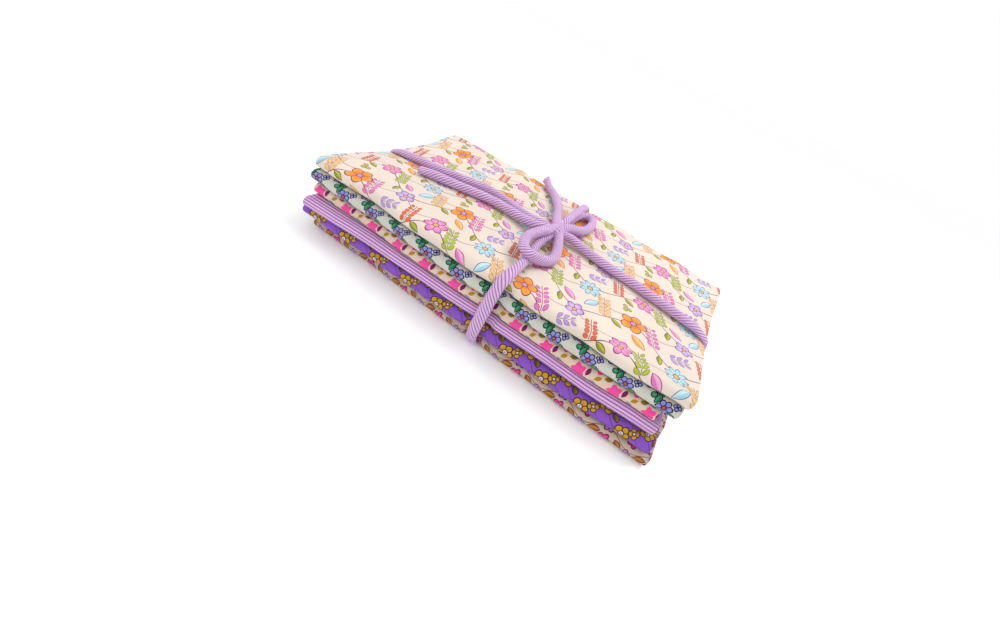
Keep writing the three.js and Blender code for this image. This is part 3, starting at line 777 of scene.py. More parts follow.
@dataclass
class TieCord:
    """The soft cord round the stack, sewn from striped bias strip, with its bow."""

    name: str = "tie_cord_cloth"
    slot: str = "cord_cloth"
    node: str = "tie_cord"
    diameter: float = 0.0088
    step: float = 0.0016
    sides: int = 24
    floor_gap: float = 0.0002
    least_gap: float = 0.0025
    lumps: tuple = ((0.041, 0.03), (0.0173, 0.02), (0.0071, 0.012))
    lump_lag: float = 0.6
    core_low: tuple[float, float, float] = (-0.168, -0.09, 0.014)
    core_high: tuple[float, float, float] = (0.165, 0.098, 0.05)
    stretches: tuple[Stretch, ...] = (
        Stretch(SHORT_TAIL, 8.8, 330.0),
        Stretch(BACK_LOOP, 9.0, 420.0),
        Stretch(LENGTHWISE, 8.4, 270.0),
        Stretch(CROSSWISE, 8.4, 265.0),
        Stretch(FRONT_LOOP, 9.4, 450.0),
        Stretch(LONG_TAIL, 8.8, 255.0),
    )
    line: np.ndarray | None = None

    def route(self) -> np.ndarray:
        """The cord's rows from end to end, with a smooth curve through the route's points."""
        rows = np.array([row for stretch in self.stretches for row in stretch.full_rows()])
        gaps = np.linalg.norm(np.diff(rows[:, :3], axis=0), axis=1)
        rows = rows[np.concatenate([[True], gaps > self.least_gap])]
        ends = np.vstack([2 * rows[0] - rows[1], rows, 2 * rows[-1] - rows[-2]])
        gaps = np.linalg.norm(np.diff(ends[:, :3], axis=0), axis=1)
        knots = np.concatenate([[0.0], np.cumsum(np.sqrt(gaps))])
        parts = []
        for i in range(1, len(ends) - 2):
            steps = max(2, round(gaps[i] / self.step))
            t = knots[i] + (knots[i + 1] - knots[i]) * np.arange(steps)[:, None] / steps
            p = ends[i - 1:i + 3]
            k = knots[i - 1:i + 3]
            a = [(p[j] * (k[j + 1] - t) + p[j + 1] * (t - k[j])) / (k[j + 1] - k[j]) for j in range(3)]
            b = [(a[j] * (k[j + 2] - t) + a[j + 1] * (t - k[j])) / (k[j + 2] - k[j]) for j in range(2)]
            parts.append((b[0] * (k[2] - t) + b[1] * (t - k[1])) / (k[2] - k[1]))
        parts.append(rows[-1:])
        line = np.concatenate(parts)
        for pitch, share in self.lumps:
            angle = 2 * np.pi * run_of(line[:, :3]) / pitch
            line[:, 3] *= 1.0 + share * np.sin(angle)
            line[:, 4] *= 1.0 - share * np.sin(angle + self.lump_lag)
        line[:, 2] = np.maximum(line[:, 2], line[:, 4] / 2 + self.floor_gap)
        return line

    def build(self) -> bpy.types.Object:
        """The cord as one closed tube that flattens against the cloth."""
        rows = self.route()
        self.line = rows[:, :3]
        tangent = np.gradient(self.line, axis=0)
        tangent /= np.linalg.norm(tangent, axis=1, keepdims=True)
        core = np.clip(self.line, self.core_low, self.core_high)
        outwards = self.line - core
        side = np.cross(tangent, outwards)
        side /= np.linalg.norm(side, axis=1, keepdims=True)
        up = np.cross(side, tangent)
        angle = 2 * np.pi * (np.arange(self.sides) + 0.5) / self.sides
        across = side[:, None, :] * np.cos(angle)[None, :, None] * rows[:, 3, None, None] / 2
        through = up[:, None, :] * np.sin(angle)[None, :, None] * rows[:, 4, None, None] / 2
        points = self.line[:, None, :] + across + through
        numbers = np.arange(len(rows) * self.sides).reshape(-1, self.sides)
        quads = cells(np.column_stack([numbers, numbers[:, 0]])).reshape(-1, 4)
        length = run_of(self.line)
        phase = np.concatenate([[0.0], np.cumsum(rows[:-1, 5] * np.diff(length))])
        around = np.arange(self.sides + 1) / self.sides
        ring = np.stack(np.broadcast_arrays(length[:, None], around, phase[:, None]), axis=-1)
        values = cells(ring).reshape(-1, 3)
        made = mesh_object(self.name, points.reshape(-1, 3), quads, "cord", values, Domain.CORNER)
        self.close_ends(made, numbers)
        LOG.info("%s: %.3f m long", made.name, length[-1])
        return made

    def close_ends(self, cord: bpy.types.Object, numbers: np.ndarray) -> None:
        """Fills both cut ends of the tube."""
        shape = bmesh.new()
        shape.from_mesh(cord.data)
        shape.verts.ensure_lookup_table()
        for ring in (numbers[0][::-1], numbers[-1]):
            shape.faces.new([shape.verts[i] for i in ring])
        shape.to_mesh(cord.data)
        shape.free()

    def dress(self) -> bpy.types.Object:
        made = self.build()
        wear(made, self.slot, self.node)
        return made


Colour = tuple[float, float, float, float]


def ink(code: str) -> Colour:
    """A colour in linear light from its six-digit screen code."""
    parts = [int(code[i:i + 2], 16) / 255 for i in (0, 2, 4)]
    linear = [p / 12.92 if p <= 0.04045 else ((p + 0.055) / 1.055) ** 2.4 for p in parts]
    return (linear[0], linear[1], linear[2], 1.0)


WHITE = ink("ffffff")

# How soft a printed edge is, in millimetres, and how much of a print the wrong side loses
EDGE_SOFTNESS = 0.25
WRONG_SIDE = 0.5


class Amount:
    """A number that varies over a cloth. Python's operators add its Math nodes."""

    def __init__(self, dye: Dye, socket: bpy.types.NodeSocket) -> None:
        """Wraps one output socket of a dye's node tree."""
        self.dye = dye
        self.socket = socket

    def __add__(self, other: Amount | float) -> Amount:
        """The sum."""
        return self.dye.math("ADD", self, other)

    __radd__ = __add__

    def __sub__(self, other: Amount | float) -> Amount:
        """The difference."""
        return self.dye.math("SUBTRACT", self, other)

    def __rsub__(self, other: float) -> Amount:
        """A plain number less this one."""
        return self.dye.math("SUBTRACT", other, self)

    def __mul__(self, other: Amount | float) -> Amount:
        """The product."""
        return self.dye.math("MULTIPLY", self, other)

    __rmul__ = __mul__

    def __truediv__(self, other: Amount | float) -> Amount:
        """The quotient."""
        return self.dye.math("DIVIDE", self, other)

    def __rtruediv__(self, other: float) -> Amount:
        """A plain number shared by this one."""
        return self.dye.math("DIVIDE", other, self)

    def __abs__(self) -> Amount:
        """The size without its sign."""
        return self.dye.math("ABSOLUTE", self)

    def below(self, edge: float, soft: float = EDGE_SOFTNESS) -> Amount:
        """1 where this is under an edge, 0 above it, with a soft step between."""
        return self.dye.math("MULTIPLY_ADD", self, -1.0 / soft, edge / soft + 0.5, clamp=True)

    def wrapped(self, half: float) -> Amount:
        """This, brought into the range from minus half to half by whole turns."""
        return self.dye.math("WRAP", self, half, -half)

    def wave(self, period: float) -> Amount:
        """A sine of this with a given period."""
        return self.dye.math("SINE", self * (2.0 * math.pi / period))


class Dye:
    """The shader of one cloth: its nodes, its flat coordinates and its colour so far."""

    def __init__(self, name: str, attribute: str) -> None:
        """Makes the material with one rough cloth shader.

        Args:
            name: The material's name.
            attribute: The mesh attribute that holds the flat coordinates, in metres.
        """
        self.material = bpy.data.materials.new(name)
        self.material.use_nodes = True
        self.tree = self.material.node_tree
        self.shader = self.tree.nodes["Principled BSDF"]
        flat = self.node("ShaderNodeAttribute", {"attribute_name": attribute}, {})
        parts = self.node("ShaderNodeSeparateXYZ", {}, {0: flat.outputs["Vector"]})
        self.flat = flat.outputs["Vector"]
        self.length, self.width, self.third = (Amount(self, parts.outputs[i]) for i in range(3))

    def node(self, kind: str, settings: dict, values: dict) -> bpy.types.Node:
        """Any node, with its settings first and then its sockets.

        Args:
            kind: The node's type.
            settings: Its properties by name. A ramp's stops are (place, colour) pairs.
            values: What its input sockets take, by name or number: numbers, colours or links.

        Returns:
            The new node.
        """
        made = self.tree.nodes.new(kind)
        for key, value in settings.items():
            if key == "stops":
                for stop in range(2, len(value)):
                    made.color_ramp.elements.new(value[stop][0])
                for stop, (place, colour) in zip(made.color_ramp.elements, value):
                    stop.position, stop.color = place, colour
            else:
                setattr(made, key, value)
        for key, value in values.items():
            link = value.socket if isinstance(value, Amount) else value
            if isinstance(link, bpy.types.NodeSocket):
                self.tree.links.new(link, made.inputs[key])
            else:
                made.inputs[key].default_value = link
        return made

    def math(self, operation: str, *terms: Amount | float, clamp: bool = False) -> Amount:
        """A Math node over numbers and amounts."""
        settings = {"operation": operation, "use_clamp": clamp}
        return Amount(self, self.node("ShaderNodeMath", settings, dict(enumerate(terms))).outputs[0])

    def mix(self, share: Amount | float, under: object, over: object, blend: str = "MIX") -> object:
        """One colour laid over another by a share."""
        settings = {"data_type": "RGBA", "blend_type": blend}
        return self.node("ShaderNodeMix", settings, {0: share, 6: under, 7: over}).outputs[2]

    def noise(self, scale: float, detail: float) -> bpy.types.Node:
        """A soft random field over the flat cloth, its scale in features a metre."""
        return self.node("ShaderNodeTexNoise", {}, {"Vector": self.flat, "Scale": scale, "Detail": detail})


class Spot:
    """Local coordinates round one motif, in millimetres."""

    def __init__(self, x: Amount, y: Amount) -> None:
        """Takes the coordinates along and across the motif."""
        self.x = x
        self.y = y

    def turned(self, degrees: float) -> Spot:
        """The same place in axes turned anticlockwise."""
        if not degrees:
            return self
        c, s = math.cos(math.radians(degrees)), math.sin(math.radians(degrees))
        return Spot(self.x * c + self.y * s, self.y * c - self.x * s)

    def radius(self) -> Amount:
        """The distance from the motif's middle."""
        dye = self.x.dye
        return dye.math("SQRT", dye.math("MULTIPLY_ADD", self.y, self.y, self.x * self.x))

    def bearing(self) -> Amount:
        """The angle round the motif's middle."""
        return self.x.dye.math("ARCTAN2", self.y, self.x)


@dataclass(frozen=True)
class Repeat:
    """A print's repeat in millimetres. Each column drops by a share of the height."""

    width: float
    height: float
    drop: float = 0.5

    def spot(self, at: Spot, x: float, y: float) -> Spot:
        """The local coordinates round the nearest copy of a motif at x, y."""
        across = at.x - x
        if not self.drop:
            return Spot(across.wrapped(self.width / 2), (at.y - y).wrapped(self.height / 2))
        dye = at.x.dye
        column = dye.math("ROUND", across / self.width)
        dropped = dye.math("MULTIPLY_ADD", column, self.height * self.drop, at.y - y)
        return Spot(across - column * self.width, dropped.wrapped(self.height / 2))


@dataclass(frozen=True)
class Motif:
    """One printed shape at its place in the repeat, in millimetres and degrees."""

    x: float
    y: float
    turn: float = 0.0
    repeat: Repeat | None = None
    colour: Colour = WHITE
    rim: Colour = WHITE
    line: float = 0.0

    def paint(self, dye: Dye, spot: Spot, under: object) -> object:
        """Lays the motif over the colour so far and returns the new colour."""
        raise NotImplementedError

    def fill(self, dye: Dye, edge: Amount, under: object, inside: object, weight: float = 1.0) -> object:
        """Fills where edge is below 0 and draws the motif's line, if it has one, along it.

        Args:
            dye: The cloth's shader.
            edge: The distance out of the shape's outline.
            under: The colour so far.
            inside: The fill's colour.
            weight: The line's width here, as a share of the motif's line.

        Returns:
            The new colour.
        """
        if not self.line:
            return dye.mix(edge.below(0.0), under, inside)
        half = self.line * weight / 2
        lined = dye.mix(edge.below(half), under, self.rim)
        return dye.mix(edge.below(-half), lined, inside)


@dataclass(frozen=True)
class Blossom(Motif):
    """A flower of round petals with a round centre. Its heart's sizes are shares of the radius."""

    radius: float = 6.0
    petals: int = 5
    heart: Colour | None = None
    heart_radius: float = 0.55
    heart_fade: float = 0.7
    centre: Colour = WHITE
    centre_radius: float = 1.5
    line: float = 0.7
    petal_line: float = 0.9
    centre_line: float = 0.8
    bite: float = 0.35

    def paint(self, dye: Dye, spot: Spot, under: object) -> object:
        """Lays petals, the lines between them and the centre."""
        radius = spot.radius()
        ripple = abs(dye.math("COSINE", spot.bearing() * (self.petals / 2)))
        bitten = self.radius * self.bite
        edge = radius - dye.math("MULTIPLY_ADD", ripple, bitten, self.radius * (1 - self.bite))
        inside = self.colour
        if self.heart:
            near = radius.below(self.radius * self.heart_radius, self.radius * self.heart_fade)
            inside = dye.mix(near, self.colour, self.heart)
        between = (ripple * radius).below(self.line * self.petal_line)
        inside = dye.mix(between, inside, self.rim)
        shown = self.fill(dye, edge, under, inside)
        if not self.centre_radius:
            return shown
        return self.fill(dye, radius - self.centre_radius, shown, self.centre, self.centre_line)


@dataclass(frozen=True)
class Leaf(Motif):
    """A pointed leaf with an outline, and a half in a second colour if it has one."""

    length: float = 8.0
    width: float = 4.0
    shade: Colour | None = None
    line: float = 0.6

    def paint(self, dye: Dye, spot: Spot, under: object) -> object:
        """Lays the leaf along its local x."""
        along = spot.x * (2.0 / self.length)
        edge = dye.math("MULTIPLY_ADD", along * along, self.width / 2, abs(spot.y) - self.width / 2)
        inside = self.colour
        if self.shade:
            inside = dye.mix(spot.y.below(0.0), self.colour, self.shade)
        return self.fill(dye, edge, under, inside)


@dataclass(frozen=True)
class Star(Motif):
    """A star with blunt points."""

    radius: float = 6.0
    inner: float = 3.6
    points: int = 5

    def paint(self, dye: Dye, spot: Spot, under: object) -> object:
        """Lays the star."""
        fold = dye.math("PINGPONG", spot.bearing() + math.pi, math.pi / self.points)
        slope = (self.radius - self.inner) / (math.pi / self.points)
        edge = spot.radius() - dye.math("MULTIPLY_ADD", fold, -slope, self.radius)
        return self.fill(dye, edge, under, self.colour)


@dataclass(frozen=True)
class Dot(Motif):
    """A round berry or bud."""

    radius: float = 1.5
    line: float = 0.5

    def paint(self, dye: Dye, spot: Spot, under: object) -> object:
        """Lays the dot."""
        return self.fill(dye, spot.radius() - self.radius, under, self.colour)


@dataclass(frozen=True)
class Sprig(Motif):
    """A straight twig that starts at x, y, with an odd number of pairs of leaves that lean forward."""

    pairs: int = 5
    spacing: float = 5.0
    reach: float = 2.8
    leaf_length: float = 5.0
    leaf_width: float = 2.4
    lean: float = 40.0
    line: float = 0.5
    stem: float = 0.6
    taper: float = 0.05

    def paint(self, dye: Dye, spot: Spot, under: object) -> object:
        """Lays the twig and its leaves, which get smaller towards the tip."""
        half = self.pairs * self.spacing / 2
        along = spot.x - half
        inside = abs(along).below(half)
        under = dye.mix(abs(spot.y).below(self.stem / 2) * inside, under, self.rim)
        pair = Spot(along.wrapped(self.spacing / 2), abs(spot.y) - self.reach).turned(self.lean)
        share = pair.x * (2.0 / self.leaf_length)
        edge = dye.math("MULTIPLY_ADD", share * share, self.leaf_width / 2, abs(pair.y) - self.leaf_width / 2)
        shown = edge + (1.0 - inside) * self.leaf_width + dye.math("MAXIMUM", along * self.taper, 0.0)
        return self.fill(dye, shown, under, self.colour)


@dataclass(frozen=True)
class Stem(Motif):
    """A thin line that waves along the whole cloth, one in each height of the repeat."""

    period: float = 100.0
    sway: float = 10.0
    every: float = 50.0
    line: float = 0.6

    def paint(self, dye: Dye, spot: Spot, under: object) -> object:
        """Lays the line."""
        away = dye.math("MULTIPLY_ADD", (spot.x - self.x).wave(self.period), -self.sway, spot.y - self.y)
        nearest = abs(away.wrapped(self.every / 2))
        return dye.mix(nearest.below(self.line / 2), under, self.colour)


@dataclass(frozen=True)
class Finish:
    """How a cloth takes light, the same all over."""

    roughness: float = 0.86
    sheen: float = 0.12
    sheen_roughness: float = 0.45
    specular: float = 0.25
    thread: float = 0.00036
    weave_depth: float = 0.00005
    puckers: float = 0.00022
    pucker_scale: float = 38.0
    depth: float = 0.74
    cloudiness: float = 0.14
    cloud_scale: float = 14.0
    thread_shade: float = 0.03
    fineness: float = 2.0

    def dress(self, dye: Dye, colour: object) -> bpy.types.Material:
        """Joins colour, weave and soft puckers to the shader.

        Args:
            dye: The cloth's shader.
            colour: The cloth's colour over its surface.

        Returns:
            The finished material.
        """
        threads = dye.length.wave(2 * self.thread) * dye.width.wave(2 * self.thread)
        cloudy = Amount(dye, dye.noise(self.cloud_scale, self.fineness).outputs[0])
        tone = dye.math("MULTIPLY_ADD", cloudy, self.cloudiness, self.depth) + threads * self.thread_shade
        grey = dye.node("ShaderNodeCombineXYZ", {}, {0: tone, 1: tone, 2: tone}).outputs[0]
        shaded = dye.mix(1.0, colour, grey, "MULTIPLY")
        ruffled = Amount(dye, dye.noise(self.pucker_scale, self.fineness).outputs[0])
        height = threads * self.weave_depth + ruffled * self.puckers
        bump = dye.node("ShaderNodeBump", {}, {"Height": height, "Distance": 1.0, "Strength": 1.0})
        values = {
            "Roughness": self.roughness,
            "Sheen Weight": self.sheen,
            "Sheen Roughness": self.sheen_roughness,
            "Specular IOR Level": self.specular,
        }
        for key, value in values.items():
            dye.shader.inputs[key].default_value = value
        dye.tree.links.new(shaded, dye.shader.inputs["Base Color"])
        dye.tree.links.new(bump.outputs[0], dye.shader.inputs["Normal"])
        return dye.material


@dataclass(frozen=True)
class Print:
    """A printed cotton: its ground colour, its repeat and its motifs."""

    name: str
    ground: Colour
    repeat: Repeat
    motifs: tuple[Motif, ...]
    finish: Finish = Finish()
    wobble: float = 1.1
    wobble_scale: float = 55.0
    wobble_detail: float = 1.0

    def material(self) -> bpy.types.Material:
        """The print's material."""
        dye = Dye(self.name, "cloth")
        shift = dye.noise(self.wobble_scale, self.wobble_detail)
        parts = dye.node("ShaderNodeSeparateXYZ", {}, {0: shift.outputs["Color"]})
        aside = [(Amount(dye, parts.outputs[i]) - 0.5) * self.wobble for i in range(2)]
        at = Spot(
            dye.math("MULTIPLY_ADD", dye.length, 1.0 / MM, aside[0]),
            dye.math("MULTIPLY_ADD", dye.width, -1.0 / MM, aside[1]),
        )
        colour = self.ground
        for motif in self.motifs:
            repeat = motif.repeat or self.repeat
            spot = at if isinstance(motif, Stem) else repeat.spot(at, motif.x, motif.y).turned(motif.turn)
            colour = motif.paint(dye, spot, colour)
        colour = dye.mix(dye.third * WRONG_SIDE, colour, self.ground)
        return self.finish.dress(dye, colour)


# The inks of the prints
PLUM = ink("7d2450")
NAVY = ink("25254c")
DARK_BROWN = ink("4c2a3a")
ORANGE, DEEP_ORANGE = ink("ffac48"), ink("f58426")
PALE_BLUE, ICE_BLUE = ink("a6daea"), ink("cdeef5")
PINK, PALE_PINK = ink("ee7cc4"), ink("f6b4dd")
GOLD, PALE_GOLD = ink("edb85c"), ink("f4d08a")
LILAC, PALE_LILAC = ink("c3a0e0"), ink("e6d2f4")
LIME, DEEP_LIME = ink("b9c43c"), ink("8f9c24")
CORAL = ink("ee7448")
LAVENDER, DEEP_LAVENDER = ink("a0a0e4"), ink("8080cc")
EMERALD, DEEP_EMERALD = ink("38a862"), ink("1f7c46")
RED_ORANGE = ink("d9532f")
HOT_PINK, DEEP_PINK = ink("ff4ea4"), ink("e2348c")
MUSTARD, DEEP_MUSTARD = ink("dca91e"), ink("b98a12")
OLIVE, DEEP_OLIVE = ink("8f7818"), ink("6c5810")
MULBERRY = ink("7d1760")
GREY_TEAL = ink("8fa3ad")
DEEP_VIOLET = ink("5c2a9e")
BROWN, DEEP_BROWN = ink("c27c24"), ink("96561a")
MAUVE = ink("b48ccc")
WINE = ink("6e2436")
PALE_CENTRE = ink("e6e2ea")

CREAM_STEMS = Repeat(88.0, 39.0, 0.0)
CREAM_PRINT = Print("cream_print", ink("f1e2d3"), Repeat(88.0, 78.0), (
    Stem(0.0, 0.0, period=88.0, sway=11.0, every=39.0, colour=PLUM, line=0.9),
    Stem(11.0, 19.0, period=44.0, sway=4.0, every=39.0, colour=PLUM, line=0.6),
    *(Leaf(*at, CREAM_STEMS, length=11.0, width=4.8, colour=LIME, shade=DEEP_LIME, rim=PLUM)
      for at in ((10.5, 1.4, -20.0), (50.5, -9.6, -80.0))),
    Leaf(31.5, -5.0, -38.0, length=17.0, width=6.6, colour=PALE_GOLD, shade=ORANGE, rim=ink("c2502e")),
    Leaf(74.0, 45.0, 62.0, length=17.0, width=6.4, colour=ICE_BLUE, shade=PALE_BLUE, rim=ink("6b4a9c")),
    Leaf(56.0, 40.5, -35.0, length=16.0, width=6.0, colour=PALE_PINK, shade=PINK, rim=ink("a0387c")),
    Sprig(44.0, 1.0, 111.0, pairs=5, spacing=5.3, reach=3.5, leaf_length=6.2, leaf_width=3.6, lean=44.0,
          colour=PINK, rim=ink("b03a86")),
    Sprig(0.0, 1.0, 110.0, pairs=5, spacing=5.0, reach=3.1, leaf_length=6.6, leaf_width=3.4, lean=42.0,
          colour=PALE_GOLD, rim=ink("c86a3c")),
    Sprig(44.0, 40.0, 113.0, pairs=5, spacing=4.8, reach=3.0, leaf_length=6.4, leaf_width=3.2, lean=42.0,
          colour=LIME, rim=ink("77801e")),
    Sprig(0.0, 40.0, 106.0, pairs=5, spacing=4.7, reach=3.2, leaf_length=5.4, leaf_width=3.5, lean=30.0,
          colour=CORAL, rim=ink("9c2f3f")),
    Sprig(58.0, 3.0, 24.0, pairs=3, spacing=5.6, reach=3.0, leaf_length=6.6, leaf_width=3.0,
          colour=LILAC, rim=ink("8a6ab8")),
    *(Dot(*at, radius=2.0, colour=LIME, rim=PLUM) for at in ((9.5, 32.5), (14.2, 30.5), (11.0, 27.8))),
    Blossom(22.0, 14.5, 10.0, radius=11.5, petals=5, colour=ORANGE, heart=DEEP_ORANGE, rim=PLUM,
            centre=LILAC, centre_radius=2.6, line=0.9),
    Blossom(66.0, -14.5, 0.0, radius=9.6, petals=8, colour=PALE_BLUE, heart=ICE_BLUE, rim=ink("5f4390"),
            centre=GOLD, centre_radius=2.5, bite=0.45, line=0.8),
    Blossom(22.0, 53.5, 20.0, radius=9.8, petals=6, colour=PINK, heart=PALE_PINK, rim=PLUM,
            centre=GOLD, centre_radius=2.4, line=0.8),
    Blossom(66.0, 25.0, 0.0, radius=8.2, petals=5, colour=LILAC, heart=PALE_LILAC, rim=ink("7a3f8c"),
            centre=ORANGE, centre_radius=2.0, line=0.8),
))
# The ground is the cloth's own pale grey, made a little darker as painted shade for the gaps between the
# layers
GREY_PRINT = Print("grey_print", ink("d6d6cb"), Repeat(15.5, 27.0), (
    Leaf(7.4, -3.6, -30.0, length=9.4, width=5.2, colour=EMERALD, shade=DEEP_EMERALD, rim=NAVY, line=0.9),
    Leaf(-6.6, 4.4, 78.0, length=8.0, width=4.0, colour=EMERALD, shade=DEEP_EMERALD, rim=NAVY, line=0.9),
    Dot(4.6, -8.0, radius=2.1, colour=EMERALD, rim=NAVY, line=0.9),
    Blossom(0.0, 0.6, 12.0, radius=5.9, petals=6, colour=LAVENDER, heart=DEEP_LAVENDER, rim=NAVY,
            centre=RED_ORANGE, centre_radius=1.6, line=1.1, bite=0.3),
    Blossom(7.0, 6.2, 0.0, radius=3.0, petals=4, colour=LAVENDER, rim=NAVY,
            centre_radius=0.0, line=0.9),
))
# The ground is the cloth's own pale pink, made a little darker as painted shade for the gaps between the
# layers
PINK_PRINT = Print("pink_print", ink("ead0bb"), Repeat(15.2, 22.0), (
    Leaf(7.4, -4.6, 22.0, length=6.6, width=4.0, colour=OLIVE, line=0.0),
    Leaf(7.2, 3.4, 82.0, length=7.2, width=3.6, colour=MULBERRY, line=0.0),
    Leaf(-1.0, 8.6, -25.0, length=6.8, width=3.8, colour=GREY_TEAL, line=0.0),
    Leaf(0.6, -8.2, 40.0, length=6.0, width=3.4, colour=DEEP_MUSTARD, line=0.0),
    Star(0.0, 0.4, 10.0, radius=6.2, inner=4.0, colour=HOT_PINK),
))
VIOLET_PRINT = Print("violet_print", ink("9058c8"), Repeat(18.0, 28.0), (
    Stem(4.0, 6.0, period=36.0, sway=5.5, every=14.0, colour=DEEP_VIOLET, line=0.6),
    Stem(12.0, 2.0, period=36.0, sway=-3.5, every=14.0, colour=DEEP_VIOLET, line=0.5),
    Leaf(8.6, -5.2, -55.0, length=8.4, width=5.0, colour=OLIVE, shade=DEEP_OLIVE, rim=DARK_BROWN, line=0.9),
    Leaf(-8.0, -5.8, 235.0, length=7.6, width=4.4, colour=MUSTARD, shade=OLIVE, rim=DARK_BROWN, line=0.9),
    Blossom(8.4, 5.8, 30.0, radius=4.6, petals=4, colour=MUSTARD, heart=DEEP_MUSTARD, rim=DARK_BROWN,
            centre=PALE_CENTRE, centre_radius=1.2, line=0.9),
    Blossom(0.0, 0.0, 0.0, radius=7.0, petals=5, colour=MUSTARD, heart=DEEP_MUSTARD, rim=DARK_BROWN,
            centre=PALE_CENTRE, centre_radius=2.2, line=1.1, bite=0.3),
    Dot(0.0, 0.0, radius=0.8, colour=ink("73738f"), line=0.0),
))
TAUPE_PRINT = Print("taupe_print", ink("cfbaa8"), Repeat(21.0, 25.0), (
    Stem(0.0, 4.0, period=42.0, sway=3.5, every=12.5, colour=ink("8a4a3a"), line=0.6),
    Leaf(0.0, 0.0, 22.0, length=11.0, width=5.8, colour=BROWN, shade=DEEP_BROWN, rim=WINE, line=0.9),
    Leaf(1.0, 12.0, -40.0, length=9.4, width=4.8, colour=BROWN, shade=DEEP_BROWN, rim=WINE, line=0.9),
    Blossom(10.6, -2.6, 0.0, radius=5.4, petals=5, colour=DEEP_PINK, heart=HOT_PINK, rim=ink("6e1e4a"),
            centre=ink("f2dcd8"), centre_radius=1.5, line=1.0),
    Blossom(9.6, 9.0, 25.0, radius=4.8, petals=5, colour=MAUVE, heart=LILAC, rim=ink("6e2a5a"),
            centre=HOT_PINK, centre_radius=1.3, line=1.0),
))


@dataclass(frozen=True)
class StripedCotton:
    """Cotton with fine printed stripes along the cut, or round the cord."""

    name: str
    attribute: str
    period: float
    turns: float
    stops: tuple[tuple[float, Colour], ...]
    finish: Finish = Finish()

    def material(self) -> bpy.types.Material:
        """The striped cloth's material."""
        dye = Dye(self.name, self.attribute)
        if self.turns:
            phase = dye.math("MULTIPLY_ADD", dye.width, self.turns, dye.third)
            side = None
        else:
            phase = dye.width / self.period
            side = dye.third
        ramp = dye.node("ShaderNodeValToRGB", {"stops": self.stops}, {0: dye.math("FRACT", phase)})
        colour = ramp.outputs[0]
        if side:
            colour = dye.mix(side * WRONG_SIDE, colour, self.stops[0][1])
        return self.finish.dress(dye, colour)


STRIPE_STOPS = (
    (0.0, ink("ecc6ee")),
    (0.34, ink("ecc6ee")),
    (0.44, ink("d4a2de")),
    (0.54, ink("a25eb0")),
    (0.74, ink("a25eb0")),
    (0.84, ink("d4a2de")),
    (1.0, ink("ecc6ee")),
)
CORD_STOPS = (
    (0.0, ink("f5daf8")),
    (0.3, ink("f1d0f5")),
    (0.48, ink("ddace4")),
    (0.6, ink("b77ec6")),
    (0.76, ink("b77ec6")),
    (0.9, ink("ddace4")),
    (1.0, ink("f5daf8")),
)

LILAC_STRIPE = StripedCotton("lilac_stripe", "cloth", period=0.0026, turns=0.0, stops=STRIPE_STOPS)
CORD_CLOTH = StripedCotton("cord_cloth", "cord", period=0.0, turns=-8.0, stops=CORD_STOPS)

COTTONS = {
    cotton.name: cotton
    for cotton in (CREAM_PRINT, GREY_PRINT, PINK_PRINT, LILAC_STRIPE, VIOLET_PRINT, TAUPE_PRINT, CORD_CLOTH)
}

CUTS = (
    FoldedCut("cut_6_taupe_floral", "taupe_print", -0.181, 0.187,
              (0.108, 0.109, 0.109, 0.11, 0.108), (-0.106, -0.1055, -0.106, -0.106, -0.106), 0,
              short_by=0.003, short_to=-0.07, short_run=0.008),
    FoldedCut("cut_5_violet_floral", "violet_print", -0.187, 0.182,
              (0.106, 0.105, 0.104, 0.106, 0.108), (-0.111, -0.11, -0.1085, -0.107, -0.105), 1,
              out_left=0.003, short_by=0.0032, short_to=-0.02),
    FoldedCut("cut_4_lilac_stripe", "lilac_stripe", -0.184, 0.177,
              (0.105, 0.108, 0.108, 0.107, 0.11), (-0.1155, -0.1085, -0.105, -0.101, -0.097), 2,
              short_by=0.003, short_to=-0.02),
    FoldedCut("cut_3_pink_star", "pink_print", -0.181, 0.17,
              (0.11, 0.112, 0.111, 0.112, 0.109), (-0.104, -0.103, -0.102, -0.099, -0.095), 3,
              out_left=0.0025, short_by=0.0025, short_to=-0.03),
    FoldedCut("cut_2_pale_grey_floral", "grey_print", -0.185, 0.178,
              (0.107, 0.11, 0.111, 0.109, 0.107), (-0.104, -0.103, -0.102, -0.098, -0.093), 4,
              out_left=0.0025),
    FoldedCut("cut_1_cream_floral", "cream_print", -0.187, 0.18,
              (0.112, 0.1155, 0.1165, 0.116, 0.114), (-0.099, -0.0985, -0.098, -0.094, -0.091), 5,
              top_steps=(6, 7, 5, 2, 3, 2, 8, 6, 5), outer_steps=(2, 3, 26, 26, 3, 4, 3, 20, 24, 3, 2)),
)


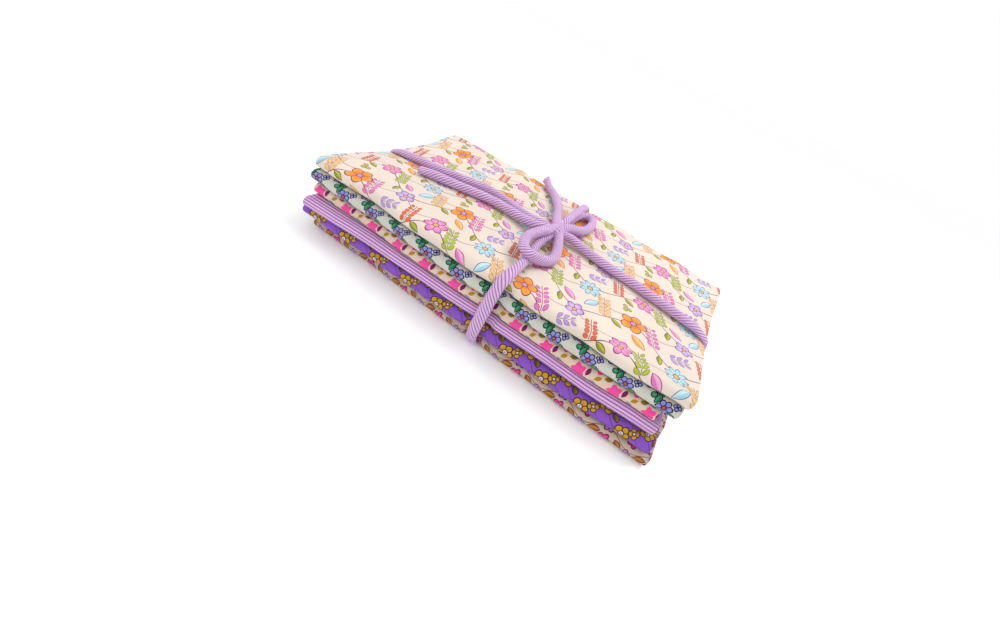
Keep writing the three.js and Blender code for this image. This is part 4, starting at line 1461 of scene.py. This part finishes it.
@dataclass
class Studio:
    """Camera, soft lights and the pale floor."""

    eye: tuple[float, float, float] = (0.094626, -0.321132, 0.233858)
    right: tuple[float, float, float] = (0.79832, 0.51399, 0.31386)
    up: tuple[float, float, float] = (-0.55933, 0.43960, 0.70278)
    backwards: tuple[float, float, float] = (0.22325, -0.73659, 0.63843)
    lens: float = 13.571
    sensor: float = 36.0
    clip_start: float = 0.01
    surround: Colour = WHITE
    lamps: tuple = (("key", (0.35, 0.55, 1.2), 0.6, 8.0), ("fill", (-0.7, -0.8, 0.9), 0.9, 1.5))
    floor_half: float = 6.0
    floor_colour: Colour = (0.995, 0.995, 0.995, 1.0)
    floor_roughness: float = 0.9

    def camera(self) -> None:
        """The camera at the photograph's place and angle."""
        data = bpy.data.cameras.new("camera")
        data.lens = self.lens
        data.sensor_width = self.sensor
        data.sensor_fit = "HORIZONTAL"
        data.clip_start = self.clip_start
        made = placed("camera", data)
        axes = Matrix((self.right, self.up, self.backwards)).transposed().to_4x4()
        made.matrix_world = Matrix.Translation(self.eye) @ axes
        bpy.context.scene.camera = made

    def lights(self) -> None:
        """An even pale surround and two soft area lights."""
        world = bpy.data.worlds.new("surround")
        bpy.context.scene.world = world
        world.use_nodes = True
        background = world.node_tree.nodes["Background"]
        background.inputs["Color"].default_value = self.surround
        background.inputs["Strength"].default_value = 1.0
        for name, place, size, power in self.lamps:
            data = bpy.data.lights.new(name, "AREA")
            data.size = size
            data.energy = power
            made = placed(name, data)
            made.location = place
            made.rotation_mode = "QUATERNION"
            made.rotation_quaternion = Vector(place).to_track_quat("Z", "Y")

    def floor(self) -> None:
        """A wide pale floor under the bundle."""
        corners = self.floor_half * np.array([(-1, -1, 0), (1, -1, 0), (1, 1, 0), (-1, 1, 0)])
        made = mesh_object("floor", corners, np.array([[0, 1, 2, 3]]), "place", corners)
        matt = bpy.data.materials.new("floor")
        matt.use_nodes = True
        shader = matt.node_tree.nodes["Principled BSDF"]
        shader.inputs["Base Color"].default_value = self.floor_colour
        shader.inputs["Roughness"].default_value = self.floor_roughness
        made.data.materials.append(matt)


def main() -> None:
    """Builds the camera, the cord, the cuts and the studio, and notes the sizes."""
    logging.basicConfig(level=logging.INFO, format="%(name)s: %(message)s")
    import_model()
    bpy.context.scene.view_settings.view_transform = "Standard"
    studio = Studio()
    studio.camera()
    studio.floor()
    TieCord().dress()
    below = "floor"
    for cut in CUTS:
        below = cut.dress(below).name
    studio.lights()


if __name__ == "__main__":
    main()
